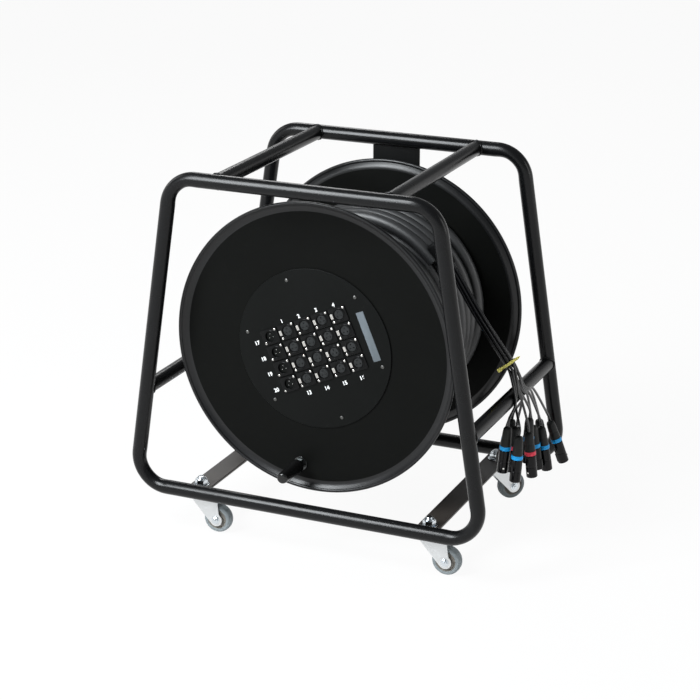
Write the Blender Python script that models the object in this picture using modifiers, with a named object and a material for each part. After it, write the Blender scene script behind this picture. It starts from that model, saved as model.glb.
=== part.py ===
"""Multicore cable drum in a tube frame on castors, in metres, +Z up, standing on z = 0.

X runs to the right and Y to the rear. The drum turns about an axis along Y, carried at
the rear only: a flat bar in the rear hoop holds a stub axle, and the drum's hub runs on
it. The front flange carries the connector panel and the winding handle. The cable's
outer layers are one wound tube, and its tails lie over the right side tube.
"""

import math

import bmesh
import bpy
from mathutils import Matrix, Vector

# Clearances
GAP = 0.0003
RUNNING_GAP = 0.0004

# Frame of round tube: two hoops, two top tubes and two side tubes
TUBE_RADIUS = 0.0125
HOOP_Y = 0.1957
HOOP_HALF_WIDTH_BOTTOM = 0.316
HOOP_HALF_WIDTH_TOP = 0.231
HOOP_HEIGHT = 0.5456
BEND_RADIUS = 0.052
BEND_SQUEEZE = 0.91
BEND_STEP = 0.004
TOP_TUBE_X = 0.149
SIDE_TUBE_RISE = 0.1755

# Flat bars under the drum that carry the castors
BAR_INSET = 0.106
BAR_WIDTH = 0.039
BAR_THICKNESS = 0.0045
BAR_TOP_RISE = -0.0030

# Castors
CASTOR_INSET = 0.0377
CASTOR_Y = HOOP_Y - CASTOR_INSET
CASTOR_TURNS = {"rear_right": math.radians(50)}
STEM_RADIUS = 0.006
NUT_ACROSS_FLATS = 0.019
NUT_HEIGHT = 0.011
WASHER_RADIUS = 0.014
WASHER_THICKNESS = 0.0018
RACE_RADIUS = 0.0145
RACE_THICKNESS = 0.003
CROWN_RADIUS = 0.016
CROWN_HEIGHT = 0.0072
FORK_PLATE = 0.0025
FORK_BRIDGE = 0.0045
FORK_END_RADIUS = 0.0115
STEM_TAIL = 0.002
WHEEL_RADIUS = 0.0255
WHEEL_WIDTH = 0.018
WHEEL_SIDES = 16
WHEEL_TRAIL = 0.0325
WHEEL_AXLE_RADIUS = 0.003
RAIL_Z = 0.083

# Drum
DRUM_RISE = 0.269
DRUM_TURN = math.radians(23.7)
FLANGE_RADIUS = 0.249
BEAD_RADIUS = 0.0062
FLANGE_THICKNESS = 0.002
FLANGE_FRONT_Y = -0.1457
FLANGE_REAR_Y = 0.1575
FRONT_HOLE_RADIUS = 0.112
BARREL_RADIUS = 0.143
BARREL_WALL = 0.002
HUB_RADIUS = 0.030
HUB_FLANGE_RADIUS = 0.055
HUB_FLANGE_THICKNESS = 0.006
HUB_FRONT_Y = 0.060
HUB_REAR_Y = 0.172

# Rear bar and stub axle
REAR_BAR_WIDTH = 0.087
REAR_BAR_THICKNESS = 0.006
AXLE_RADIUS = 0.015
AXLE_FLANGE_RADIUS = 0.040
AXLE_FLANGE_THICKNESS = 0.008
AXLE_SPIGOT_RADIUS = 0.0117
AXLE_NUT_ACROSS_FLATS = 0.036
AXLE_NUT_HEIGHT = 0.014
AXLE_OVERHANG = 0.0248
AXLE_END_Y = HOOP_Y + AXLE_OVERHANG
COLLAR_RADIUS = 0.022
COLLAR_THICKNESS = 0.008

# Connector panel, laid out upright and turned with the drum
PANEL_RADIUS = 0.1365
PANEL_THICKNESS = 0.002
COLUMNS = 5
ROWS = 4
COLUMN_PITCH = 0.0335
ROW_PITCH = 0.0283
SOCKET_WIDTH = 0.031
SOCKET_HEIGHT = 0.026
SOCKET_FACE = 0.0023
SOCKET_CORNER = 0.003
MOUTH_SHIFT = 0.0010
INSERT_RADIUS = 0.0078
GROOVE_WIDTH = 0.0016
GROOVE_DEPTH = 0.003
MALE_BODY_RADIUS = 0.0113
MALE_BODY_DEPTH = 0.018
MALE_MOUTH_RADIUS = 0.0088
MALE_MOUTH_DEPTH = 0.0125
LATCH_WIDTH = 0.0046
LATCH_HEIGHT = 0.0084
LATCH_THICKNESS = 0.0030
LATCH_PROUD = 0.0016
LATCH_SHIFT = -0.0122

# Winding handle
HANDLE_INSET = 0.041
HANDLE_ANGLE = math.radians(-97.5)
STUD_RADIUS = 0.005
STUD_NUT_ACROSS_FLATS = 0.017
STUD_NUT_HEIGHT = 0.008
STUD_WASHER_RADIUS = 0.012
GRIP_RADIUS = 0.0125
GRIP_FRONT_Y = -0.2205
GRIP_LENGTH = 0.062
GRIP_END_WALL = 0.005

# Cable on the drum: a lower layer to the rear, then an upper layer part of the way back
CABLE_RADIUS = 0.0105
CABLE_CLEARANCE = 0.0008
BARREL_CLEARANCE = 0.0022
LAYER_STEP = 0.0218
UPPER_LAYER_RADIUS = BARREL_RADIUS + BARREL_CLEARANCE + CABLE_RADIUS + LAYER_STEP
LOWER_TURNS = 10
UPPER_STEPS = (0.042, 0.022, 0.022, 0.022)
CLIMB_TURNS = 0.5
CABLE_END_ANGLE = math.radians(47)
POINTS_PER_TURN = 20

# Breakout sleeve and tails
SLEEVE_RADIUS = 0.016
SLEEVE_END_RADIUS = 0.0118
SLEEVE_BACK = 0.034
SLEEVE_FRONT = 0.014
TRUNK_RADIUS = 0.0095
TRUNK_CLEARANCE = 0.0009
TAIL_FOOT_ANGLE = math.radians(38.3)
TAIL_RADIUS = 0.00215
TAIL_PITCH = 0.0062
TRUNK_SPACING = 0.018
TAIL_SPACING = 0.0145
TAIL_CLEARANCE = 0.002
TIE_WIDTH = 0.005
TIE_THICKNESS = 0.0015

# Plugs on the tails
PLUG_RADIUS = 0.0095
PLUG_LENGTH = 0.080
PLUG_BOOT_LENGTH = 0.026
PLUG_BOOT_RADIUS = 0.0062
PLUG_NECK_RADIUS = 0.0036
PLUG_MOUTH_RADIUS = 0.0080
PLUG_MOUTH_DEPTH = 0.012

# Places worked out from the sizes above
BAR_X = HOOP_HALF_WIDTH_BOTTOM - BAR_INSET
HANDLE_RADIUS_ON_DRUM = FLANGE_RADIUS - HANDLE_INSET
AXLE_Z = WHEEL_RADIUS * math.cos(math.pi / WHEEL_SIDES)
TOP_RAIL_Z = RAIL_Z + HOOP_HEIGHT
SIDE_TUBE_Z = RAIL_Z + SIDE_TUBE_RISE
BAR_TOP_Z = RAIL_Z + BAR_TOP_RISE
BAR_BOTTOM_Z = BAR_TOP_Z - BAR_THICKNESS
DRUM_Z = RAIL_Z + DRUM_RISE

BLACK_COAT = ((0.012, 0.013, 0.014), 0.38, 0.0)
BAR_COAT = ((0.045, 0.038, 0.036), 0.5, 0.0)
DRUM_COAT = ((0.010, 0.011, 0.011), 0.45, 0.0)
ZINC = ((0.62, 0.62, 0.60), 0.32, 1.0)
NICKEL = ((0.70, 0.69, 0.66), 0.28, 1.0)
STEEL = ((0.45, 0.45, 0.44), 0.35, 1.0)
TYRE_GREY = ((0.22, 0.21, 0.20), 0.7, 0.0)
CABLE_PVC = ((0.016, 0.017, 0.018), 0.42, 0.0)
MOULDED_BLACK = ((0.014, 0.014, 0.015), 0.5, 0.0)
GRIP_BLACK = ((0.010, 0.010, 0.010), 0.4, 0.0)
TIE_YELLOW = ((0.78, 0.62, 0.10), 0.45, 0.0)

model = None
cutters = None


def clear_scene():
    """Start from nothing and make one collection for the model and one for its cutters."""
    global model, cutters
    for old in list(bpy.data.objects):
        bpy.data.objects.remove(old)
    model = bpy.data.collections.new("multicore_cable_drum")
    cutters = bpy.data.collections.new("cutters")
    bpy.context.scene.collection.children.link(model)
    bpy.context.scene.collection.children.link(cutters)


def add(name, data, place, finish=None):
    """An object in the model, or a hidden cutter where it has no finish."""
    obj = bpy.data.objects.new(name, data)
    obj.matrix_world = place
    if finish is None:
        cutters.objects.link(obj)
        obj.hide_render = True
        obj.display_type = 'WIRE'
        return obj
    model.objects.link(obj)
    paint(obj, finish)
    return obj


def paint(obj, finish):
    """The object's own material, of one finish."""
    colour, roughness, metallic = finish
    material = bpy.data.materials.new(obj.name)
    material.use_nodes = True
    shader = material.node_tree.nodes["Principled BSDF"]
    shader.inputs["Base Color"].default_value = (*colour, 1.0)
    shader.inputs["Roughness"].default_value = roughness
    shader.inputs["Metallic"].default_value = metallic
    obj.data.materials.clear()
    obj.data.materials.append(material)


def at(x, y, z):
    return Matrix.Translation((x, y, z))


def along(direction, origin):
    """A placement whose own Z axis points along a direction."""
    turn = Vector(direction).to_track_quat('Z', 'Y').to_matrix().to_4x4()
    return at(*origin) @ turn


def along_y(x, y, z):
    """A placement whose own Z axis points to the front, along -Y."""
    return at(x, y, z) @ Matrix.Rotation(math.pi / 2, 4, 'X')


def evaluated_mesh(obj):
    """The object's shape with its modifiers, where it stands, as a plain mesh, its caps welded."""
    bpy.context.view_layer.update()
    graph = bpy.context.evaluated_depsgraph_get()
    mesh = bpy.data.meshes.new_from_object(obj.evaluated_get(graph))
    mesh.transform(obj.matrix_world)
    work = bmesh.new()
    work.from_mesh(mesh)
    bmesh.ops.remove_doubles(work, verts=work.verts, dist=0.000005)
    work.to_mesh(mesh)
    work.free()
    return mesh


def smooth(mesh, angle=math.radians(35)):
    mesh.shade_smooth()
    mesh.set_sharp_from_angle(angle=angle)


def rod_mesh(radius, length, sides):
    """A solid round or, with few sides, polygonal bar about its own Z axis."""
    mesh = bpy.data.meshes.new("rod")
    work = bmesh.new()
    bmesh.ops.create_cone(work, cap_ends=True, segments=sides, radius1=radius,
                          radius2=radius, depth=length)
    work.to_mesh(mesh)
    work.free()
    smooth(mesh)
    return mesh


def box_mesh(size, rounding=0.0, axis=1, segments=2):
    """A block about its own origin, its edges along one axis rounded."""
    mesh = bpy.data.meshes.new("block")
    work = bmesh.new()
    bmesh.ops.create_cube(work, size=1.0, matrix=Matrix.Diagonal((*size, 1.0)))
    if rounding:
        edges = [e for e in work.edges
                 if abs((e.verts[0].co - e.verts[1].co)[axis]) > size[axis] / 2]
        bmesh.ops.bevel(work, geom=edges, offset=rounding, segments=segments,
                        profile=0.5, affect='EDGES')
    work.to_mesh(mesh)
    work.free()
    return mesh


def turned(name, profile, place, finish=None, sides=24, ring=False):
    """A profile of (radius, height) points, top to bottom, turned about its own Z axis."""
    mesh = bpy.data.meshes.new(name)
    points = [(radius, 0.0, height) for radius, height in profile]
    edges = [(i, i + 1) for i in range(len(points) - 1)]
    if ring:
        edges.append((len(points) - 1, 0))
    mesh.from_pydata(points, edges, [])
    obj = add(name, mesh, place, finish)
    screw = obj.modifiers.new("turn", 'SCREW')
    screw.axis = 'Z'
    screw.steps = sides
    screw.render_steps = sides
    screw.use_merge_vertices = True
    screw.merge_threshold = 0.00001
    screw.use_smooth_shade = True
    return obj


def tube(name, points, radius, finish=None, resolution=2, closed=False, radii=None):
    """A round tube along points, with filled caps where it is open."""
    data = bpy.data.curves.new(name, 'CURVE')
    data.dimensions = '3D'
    data.bevel_depth = radius
    data.bevel_resolution = resolution
    data.use_fill_caps = True
    spline = data.splines.new('POLY')
    spline.points.add(len(points) - 1)
    for index, point in enumerate(points):
        spline.points[index].co = (*point, 1.0)
        spline.points[index].radius = radii[index] if radii else 1.0
    spline.use_cyclic_u = closed
    return add(name, data, Matrix.Identity(4), finish)


def cut(obj, cutter, operation='DIFFERENCE'):
    boolean = obj.modifiers.new(cutter.name, 'BOOLEAN')
    boolean.operation = operation
    boolean.solver = 'EXACT'
    boolean.object = cutter


def join(obj, other):
    cut(obj, other, 'UNION')


def repeated(mesh, places):
    """One mesh that holds a copy of another at each place."""
    work = bmesh.new()
    for place in places:
        copy = mesh.copy()
        copy.transform(place)
        work.from_mesh(copy)
        bpy.data.meshes.remove(copy)
    result = bpy.data.meshes.new(mesh.name + "_set")
    work.to_mesh(result)
    work.free()
    return result


def pivot(name, x, y, z):
    """An empty on a joint's axis, which carries what turns about it."""
    empty = bpy.data.objects.new(name, None)
    empty.location = (x, y, z)
    empty.empty_display_size = 0.03
    model.objects.link(empty)
    return empty


def carry(parent, *pieces):
    for piece in pieces:
        piece.parent = parent
        piece.matrix_parent_inverse = Matrix.Translation(-parent.location)


def smooth_route(knots, spacing):
    """Evenly spaced points on a smooth curve through a cord's own points."""
    knots = [Vector(knot) for knot in knots]
    ends = [2 * knots[0] - knots[1]] + knots + [2 * knots[-1] - knots[-2]]
    dense = []
    for before, start, end, after in zip(ends, ends[1:], ends[2:], ends[3:]):
        for step in range(20):
            t = step / 20
            dense.append(0.5 * (2 * start + (end - before) * t
                                + (2 * before - 5 * start + 4 * end - after) * t * t
                                + (3 * start - before - 3 * end + after) * t ** 3))
    dense.append(knots[-1])
    lengths = [0.0]
    for first, second in zip(dense, dense[1:]):
        lengths.append(lengths[-1] + (second - first).length)
    count = max(3, round(lengths[-1] / spacing))
    points = []
    for index in range(count + 1):
        wanted = lengths[-1] * index / count
        place = next(i for i in range(1, len(lengths)) if lengths[i] >= wanted - 1e-9)
        share = (wanted - lengths[place - 1]) / (lengths[place] - lengths[place - 1])
        points.append(dense[place - 1].lerp(dense[place], share))
    return points


# Frame

def hoop_centre_line():
    """One hoop's centre line in X and Z, with the tube's drawn-in bends, and its radii."""
    corners = [Vector((HOOP_HALF_WIDTH_BOTTOM, RAIL_Z)), Vector((HOOP_HALF_WIDTH_TOP, TOP_RAIL_Z)),
               Vector((-HOOP_HALF_WIDTH_TOP, TOP_RAIL_Z)), Vector((-HOOP_HALF_WIDTH_BOTTOM, RAIL_Z))]
    steps = 5
    points = []
    radii = []
    for index, corner in enumerate(corners):
        back = (corners[index - 1] - corner).normalized()
        forth = (corners[(index + 1) % 4] - corner).normalized()
        half = back.angle(forth) / 2
        reach = BEND_RADIUS / math.tan(half)
        centre = corner + (back + forth).normalized() * BEND_RADIUS / math.sin(half)
        first = corner + back * reach - centre
        sweep = math.pi - 2 * half
        points.append(centre + first + back * BEND_STEP)
        radii.append(1.0)
        for step in range(steps + 1):
            spoke = Matrix.Rotation(sweep * step / steps, 2) @ first
            shift = TUBE_RADIUS * (1 - BEND_SQUEEZE)
            points.append(centre + spoke * (1 + shift / BEND_RADIUS))
            radii.append(BEND_SQUEEZE)
        points.append(corner + forth * (reach + BEND_STEP))
        radii.append(1.0)
    return points, radii


def build_hoops():
    points, radii = hoop_centre_line()
    for name, y in (("front_hoop", -HOOP_Y), ("rear_hoop", HOOP_Y)):
        line = [(point.x, y, point.y) for point in points]
        tube(name, line, TUBE_RADIUS, BLACK_COAT, resolution=4, closed=True, radii=radii)


def leg_x(z):
    """Where a leg's centre line stands at a height."""
    share = (z - RAIL_Z) / HOOP_HEIGHT
    return HOOP_HALF_WIDTH_BOTTOM + share * (HOOP_HALF_WIDTH_TOP - HOOP_HALF_WIDTH_BOTTOM)


def build_cross_tubes():
    """Four straight tubes between the hoops, their ends coped to the tube they meet."""
    saddle = rod_mesh(TUBE_RADIUS + GAP, 10 * TUBE_RADIUS, 24)
    lean = Vector((HOOP_HALF_WIDTH_TOP - HOOP_HALF_WIDTH_BOTTOM, 0.0, HOOP_HEIGHT))
    for side, sign in (("left", -1), ("right", 1)):
        top = add(f"top_tube_{side}", rod_mesh(TUBE_RADIUS, 2 * HOOP_Y, 16),
                  along_y(sign * TOP_TUBE_X, 0.0, TOP_RAIL_Z), BLACK_COAT)
        low_x = sign * leg_x(SIDE_TUBE_Z)
        low = add(f"side_tube_{side}", rod_mesh(TUBE_RADIUS, 2 * HOOP_Y, 16),
                  along_y(low_x, 0.0, SIDE_TUBE_Z), BLACK_COAT)
        for end, y in (("front", -HOOP_Y), ("rear", HOOP_Y)):
            cut(top, add(f"cope_top_{side}_{end}", saddle,
                         along((1, 0, 0), (sign * TOP_TUBE_X, y, TOP_RAIL_Z))))
            cut(low, add(f"cope_side_{side}_{end}", saddle,
                         along((sign * lean.x, 0, lean.z), (low_x, y, SIDE_TUBE_Z))))


def build_castor_bars():
    """A flat bar on each side, coped to the bottom rails, with a hole for each castor stem."""
    saddle = rod_mesh(TUBE_RADIUS + GAP, 2 * BAR_WIDTH, 24)
    hole = rod_mesh(STEM_RADIUS + 2 * GAP, 4 * BAR_THICKNESS, 12)
    for side, x in (("left", -BAR_X), ("right", BAR_X)):
        middle = BAR_TOP_Z - BAR_THICKNESS / 2
        bar = add(f"castor_bar_{side}", box_mesh((BAR_WIDTH, 2 * HOOP_Y, BAR_THICKNESS), 0.0008, segments=1),
                  at(x, 0.0, middle), BAR_COAT)
        for end, y in (("front", -HOOP_Y), ("rear", HOOP_Y)):
            cut(bar, add(f"cope_bar_{side}_{end}", saddle, along((1, 0, 0), (x, y, RAIL_Z))))
        for end, y in (("front", -CASTOR_Y), ("rear", CASTOR_Y)):
            cut(bar, add(f"stem_hole_{side}_{end}", hole, at(x, y, middle)))


def build_rear_bar():
    """The upright flat bar in the rear hoop that carries the stub axle."""
    bottom = RAIL_Z + TUBE_RADIUS + GAP
    top = TOP_RAIL_Z - TUBE_RADIUS - GAP
    plate = add("bearing_plate",
                box_mesh((REAR_BAR_WIDTH, REAR_BAR_THICKNESS, top - bottom), 0.0015, axis=2, segments=1),
                at(0.0, HOOP_Y, (bottom + top) / 2), BLACK_COAT)
    cut(plate, add("axle_hole", rod_mesh(AXLE_SPIGOT_RADIUS + GAP, 4 * REAR_BAR_THICKNESS, 24),
                   along_y(0.0, HOOP_Y, DRUM_Z)))


def build_axle():
    """The stub axle: a flange against the bar, a nut behind it, and a nut that keeps the hub on."""
    plate_front = HOOP_Y - REAR_BAR_THICKNESS / 2 - GAP
    plate_rear = HOOP_Y + REAR_BAR_THICKNESS / 2 + GAP
    flange_front = plate_front - AXLE_FLANGE_THICKNESS
    collar_rear = HUB_FRONT_Y - RUNNING_GAP
    collar_front = collar_rear - COLLAR_THICKNESS
    thread = AXLE_SPIGOT_RADIUS
    shape = [(0.0, collar_front - 0.006), (thread, collar_front - 0.006), (thread, collar_front),
             (COLLAR_RADIUS, collar_front), (COLLAR_RADIUS, collar_rear), (AXLE_RADIUS, collar_rear),
             (AXLE_RADIUS, flange_front), (AXLE_FLANGE_RADIUS, flange_front),
             (AXLE_FLANGE_RADIUS, plate_front), (thread, plate_front), (thread, AXLE_END_Y),
             (0.0, AXLE_END_Y)]
    profile = [(radius, -y) for radius, y in shape]
    axle = turned("drum_axle", profile, along_y(0.0, 0.0, DRUM_Z), STEEL, sides=20)
    nut_radius = AXLE_NUT_ACROSS_FLATS / 2 / math.cos(math.pi / 6)
    join(axle, add("axle_nut", rod_mesh(nut_radius, AXLE_NUT_HEIGHT, 6),
                   along_y(0.0, plate_rear + AXLE_NUT_HEIGHT / 2, DRUM_Z)))


# Castors

def castor_stem_mesh():
    """Nut, washer, stem and upper race, about the castor's swivel axis."""
    seat = BAR_TOP_Z + GAP
    nut_base = seat + WASHER_THICKNESS
    race_top = BAR_BOTTOM_Z - GAP
    race_bottom = race_top - RACE_THICKNESS
    stem_end = race_bottom - RUNNING_GAP - CROWN_HEIGHT - FORK_BRIDGE - STEM_TAIL
    profile = [(0.0, nut_base + NUT_HEIGHT + 0.003), (STEM_RADIUS, nut_base + NUT_HEIGHT + 0.003),
               (STEM_RADIUS, nut_base), (WASHER_RADIUS, nut_base), (WASHER_RADIUS, seat),
               (STEM_RADIUS, seat), (STEM_RADIUS, race_top), (RACE_RADIUS, race_top),
               (RACE_RADIUS, race_bottom), (STEM_RADIUS, race_bottom), (STEM_RADIUS, stem_end),
               (0.0, stem_end)]
    stem = turned("stem_pattern", profile, Matrix.Identity(4), sides=10)
    nut = add("nut_pattern", rod_mesh(NUT_ACROSS_FLATS / 2 / math.cos(math.pi / 6), NUT_HEIGHT, 6),
              at(0.0, 0.0, nut_base + NUT_HEIGHT / 2 - GAP))
    join(stem, nut)
    return evaluated_mesh(stem)


def castor_fork_mesh():
    """Crown, bridge, two side plates and the riveted wheel axle, about the swivel axis."""
    crown_top = BAR_BOTTOM_Z - GAP - RACE_THICKNESS - RUNNING_GAP
    bridge_top = crown_top - CROWN_HEIGHT
    bridge_bottom = bridge_top - FORK_BRIDGE
    inner = WHEEL_WIDTH / 2 + 0.0015
    outer = inner + FORK_PLATE
    back = -0.0125
    front = WHEEL_TRAIL + 0.0018
    inset = 0.0005
    bridge = add("bridge_pattern",
                 box_mesh((front - back - 2 * inset, 2 * inner + FORK_PLATE, FORK_BRIDGE)),
                 at((front + back) / 2, 0.0, (bridge_top + bridge_bottom) / 2))
    crown_profile = [(0.0, crown_top), (CROWN_RADIUS - 0.003, crown_top), (CROWN_RADIUS, crown_top - 0.003),
                     (CROWN_RADIUS, bridge_top + 0.001), (CROWN_RADIUS - 0.0045, bridge_bottom + 0.001),
                     (0.0, bridge_bottom + 0.001)]
    join(bridge, turned("crown_pattern", crown_profile, Matrix.Identity(4), sides=14))
    outline = [(back, bridge_top - inset), (front, bridge_top - inset), (WHEEL_TRAIL + 0.0062, AXLE_Z + 0.0100)]
    for step in range(6):
        angle = math.radians(35 - 175 * step / 5)
        outline.append((WHEEL_TRAIL + FORK_END_RADIUS * math.cos(angle),
                        AXLE_Z + FORK_END_RADIUS * math.sin(angle)))
    outline.append((WHEEL_TRAIL - 0.024, AXLE_Z + 0.0093))
    outline.append((back, bridge_bottom - 0.002))
    for side, sign in (("left", -1), ("right", 1)):
        data = bpy.data.curves.new("plate", 'CURVE')
        data.dimensions = '2D'
        data.fill_mode = 'BOTH'
        data.extrude = FORK_PLATE / 2
        spline = data.splines.new('POLY')
        spline.points.add(len(outline) - 1)
        for point, (x, z) in zip(spline.points, outline):
            point.co = (x, z, 0.0, 1.0)
        spline.use_cyclic_u = True
        flat = add(f"plate_curve_{side}", data, Matrix.Identity(4))
        plate = add(f"plate_pattern_{side}", evaluated_mesh(flat),
                    along_y(0.0, sign * (inner + FORK_PLATE / 2), 0.0))
        bpy.data.objects.remove(flat)
        join(bridge, plate)
    axle = add("wheel_axle_pattern", rod_mesh(WHEEL_AXLE_RADIUS, 2 * outer + 0.001, 8),
               along_y(WHEEL_TRAIL, 0.0, AXLE_Z))
    join(bridge, axle)
    for side, sign in (("left", -1), ("right", 1)):
        head = add(f"bolt_head_{side}", rod_mesh(0.0058, 0.004, 6),
                   along_y(WHEEL_TRAIL, sign * (outer + 0.0018), AXLE_Z))
        join(bridge, head)
    cut(bridge, add("stem_bore", rod_mesh(STEM_RADIUS + 2 * RUNNING_GAP, 0.05, 10),
                    at(0.0, 0.0, bridge_top)))
    return evaluated_mesh(bridge)


def wheel_profile():
    """Tyre and hub, as a closed ring of (radius, width) points, top to bottom outside."""
    half = WHEEL_WIDTH / 2
    shoulder = WHEEL_RADIUS - 0.0028
    bore = WHEEL_AXLE_RADIUS + RUNNING_GAP
    side = [(WHEEL_RADIUS, half - 0.0035), (WHEEL_RADIUS, 0.0035 - half), (shoulder, -half),
            (0.0176, -half), (0.0166, 0.0022 - half), (0.0070, 0.0022 - half), (0.0065, -half - 0.0008),
            (bore, -half - 0.0008)]
    mirrored = [(radius, -width) for radius, width in reversed(side[2:])]
    return side + mirrored


def build_castors():
    """Four swivel castors, trailing to the right but for the one that has swung to the rear."""
    stem_mesh = castor_stem_mesh()
    fork_mesh = castor_fork_mesh()
    for end, y in (("front", -CASTOR_Y), ("rear", CASTOR_Y)):
        for side, x in (("left", -BAR_X), ("right", BAR_X)):
            tag = f"{end}_{side}"
            add(f"castor_stem_{tag}", stem_mesh.copy(), at(x, y, 0.0), ZINC)
            swivel = pivot(f"swivel_{tag}", x, y, BAR_BOTTOM_Z)
            place = at(x, y, 0.0) @ Matrix.Rotation(CASTOR_TURNS.get(tag, 0.0), 4, 'Z')
            fork = add(f"castor_fork_{tag}", fork_mesh.copy(), place, ZINC)
            turn = Matrix.Rotation(math.pi / WHEEL_SIDES, 4, 'Z')
            wheel = turned(f"castor_wheel_{tag}", wheel_profile(),
                           place @ along_y(WHEEL_TRAIL, 0.0, AXLE_Z) @ turn, TYRE_GREY,
                           sides=WHEEL_SIDES, ring=True)
            carry(swivel, fork, wheel)


# Drum

def flange_profile(hole_radius, face):
    """A sheet disc with its edge rolled into a bead, as a ring turned about the drum's axis.

    face is the depth of the disc's front side, measured from the drum's own front.
    """
    middle = face - FLANGE_THICKNESS / 2
    ring_radius = FLANGE_RADIUS - BEAD_RADIUS
    neck = math.asin(FLANGE_THICKNESS / 2 / BEAD_RADIUS)
    count = 7
    bead = []
    for step in range(count):
        angle = math.pi - neck - (2 * math.pi - 2 * neck) * step / (count - 1)
        bead.append((ring_radius + BEAD_RADIUS * math.cos(angle),
                     middle + BEAD_RADIUS * math.sin(angle)))
    return ([(hole_radius, face)] + bead + [(hole_radius, face - FLANGE_THICKNESS)])


def build_drum_shell(drum):
    front = turned("front_flange", flange_profile(FRONT_HOLE_RADIUS, -FLANGE_FRONT_Y),
                   along_y(0.0, 0.0, DRUM_Z), DRUM_COAT, sides=44, ring=True)
    rear_hole = HUB_RADIUS + GAP
    rear = turned("rear_flange", flange_profile(rear_hole, FLANGE_THICKNESS - FLANGE_REAR_Y),
                  along_y(0.0, 0.0, DRUM_Z), DRUM_COAT, sides=44, ring=True)
    barrel_front = FLANGE_FRONT_Y + FLANGE_THICKNESS + GAP
    barrel_rear = FLANGE_REAR_Y - FLANGE_THICKNESS - GAP
    inner = BARREL_RADIUS - BARREL_WALL
    barrel = turned("drum_barrel",
                    [(BARREL_RADIUS, -barrel_front), (BARREL_RADIUS, -barrel_rear),
                     (inner, -barrel_rear), (inner, -barrel_front)],
                    along_y(0.0, 0.0, DRUM_Z), DRUM_COAT, sides=36, ring=True)
    bore = AXLE_RADIUS + RUNNING_GAP
    seat = FLANGE_REAR_Y + GAP
    hub_outline = [(bore, HUB_FRONT_Y), (HUB_RADIUS, HUB_FRONT_Y), (HUB_RADIUS, seat),
                   (HUB_FLANGE_RADIUS, seat), (HUB_FLANGE_RADIUS, seat + HUB_FLANGE_THICKNESS),
                   (HUB_RADIUS, seat + HUB_FLANGE_THICKNESS), (HUB_RADIUS, HUB_REAR_Y),
                   (bore, HUB_REAR_Y)]
    hub = turned("drum_hub", [(radius, -y) for radius, y in hub_outline],
                 along_y(0.0, 0.0, DRUM_Z), STEEL, sides=20, ring=True)
    carry(drum, front, rear, barrel, hub)


# Connector panel

def on_panel(u, v, y):
    """A placement on the turned panel: u along a row, v up a column, y to the rear."""
    turn = Matrix.Rotation(-DRUM_TURN, 4, 'Y')
    return at(0.0, 0.0, DRUM_Z) @ turn @ at(u, y, v)


def socket_places():
    """Every socket's column, row and place on the panel."""
    for row in range(ROWS):
        for column in range(COLUMNS):
            u = (column - (COLUMNS - 1) / 2) * COLUMN_PITCH
            v = ((ROWS - 1) / 2 - row) * ROW_PITCH
            yield column, row, u, v


def facing_front(u, v, y):
    return on_panel(u, v, y) @ Matrix.Rotation(math.pi / 2, 4, 'X')


def build_panel(drum):
    """The round plate with the sixteen female sockets, and the four male sockets in it."""
    plate_back = FLANGE_FRONT_Y - GAP
    plate_front = plate_back - PANEL_THICKNESS
    face = plate_front - SOCKET_FACE
    males = [(u, v) for column, row, u, v in socket_places() if column == 0]
    females = [(u, v) for column, row, u, v in socket_places() if column > 0]
    panel = add("connector_panel", rod_mesh(PANEL_RADIUS, PANEL_THICKNESS, 48),
                facing_front(0.0, 0.0, (plate_front + plate_back) / 2), DRUM_COAT)
    block_depth = SOCKET_FACE + PANEL_THICKNESS / 2
    block = box_mesh((SOCKET_WIDTH, block_depth, SOCKET_HEIGHT), SOCKET_CORNER, segments=1)
    faces = repeated(block, [on_panel(u, v, face + block_depth / 2) for u, v in females])
    join(panel, add("female_faces", faces, Matrix.Identity(4)))

    groove = turned("groove_pattern",
                    [(INSERT_RADIUS + GROOVE_WIDTH, 0.001), (INSERT_RADIUS + GROOVE_WIDTH, -GROOVE_DEPTH),
                     (INSERT_RADIUS, -GROOVE_DEPTH), (INSERT_RADIUS, 0.001)],
                    Matrix.Identity(4), sides=10, ring=True)
    grooves = repeated(evaluated_mesh(groove),
                       [facing_front(u + MOUTH_SHIFT, v, face) for u, v in females])
    cut(panel, add("mouth_grooves", grooves, Matrix.Identity(4)))
    slot = box_mesh((LATCH_WIDTH + 2 * GAP, 0.012, LATCH_HEIGHT + 2 * GAP))
    slots = repeated(slot, [on_panel(u + LATCH_SHIFT, v, plate_front) for u, v in females])
    cut(panel, add("latch_slots", slots, Matrix.Identity(4)))
    hole = rod_mesh(MALE_BODY_RADIUS + 2 * GAP, 0.012, 14)
    holes = repeated(hole, [facing_front(u, v, plate_front) for u, v in males])
    cut(panel, add("male_holes", holes, Matrix.Identity(4)))
    carry(drum, panel)

    male_mesh = male_socket_mesh()
    for number, (u, v) in enumerate(males, 1):
        socket = add(f"male_socket_{number}", male_mesh.copy(), on_panel(u, v, plate_front - GAP),
                     MOULDED_BLACK)
        carry(drum, socket)
    latch = box_mesh((LATCH_WIDTH, LATCH_THICKNESS, LATCH_HEIGHT))
    for number, (u, v) in enumerate(females, 1):
        tab = add(f"latch_tab_{number}", latch.copy(),
                  on_panel(u + LATCH_SHIFT, v, face - LATCH_PROUD + LATCH_THICKNESS / 2), NICKEL)
        carry(drum, tab)


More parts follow.
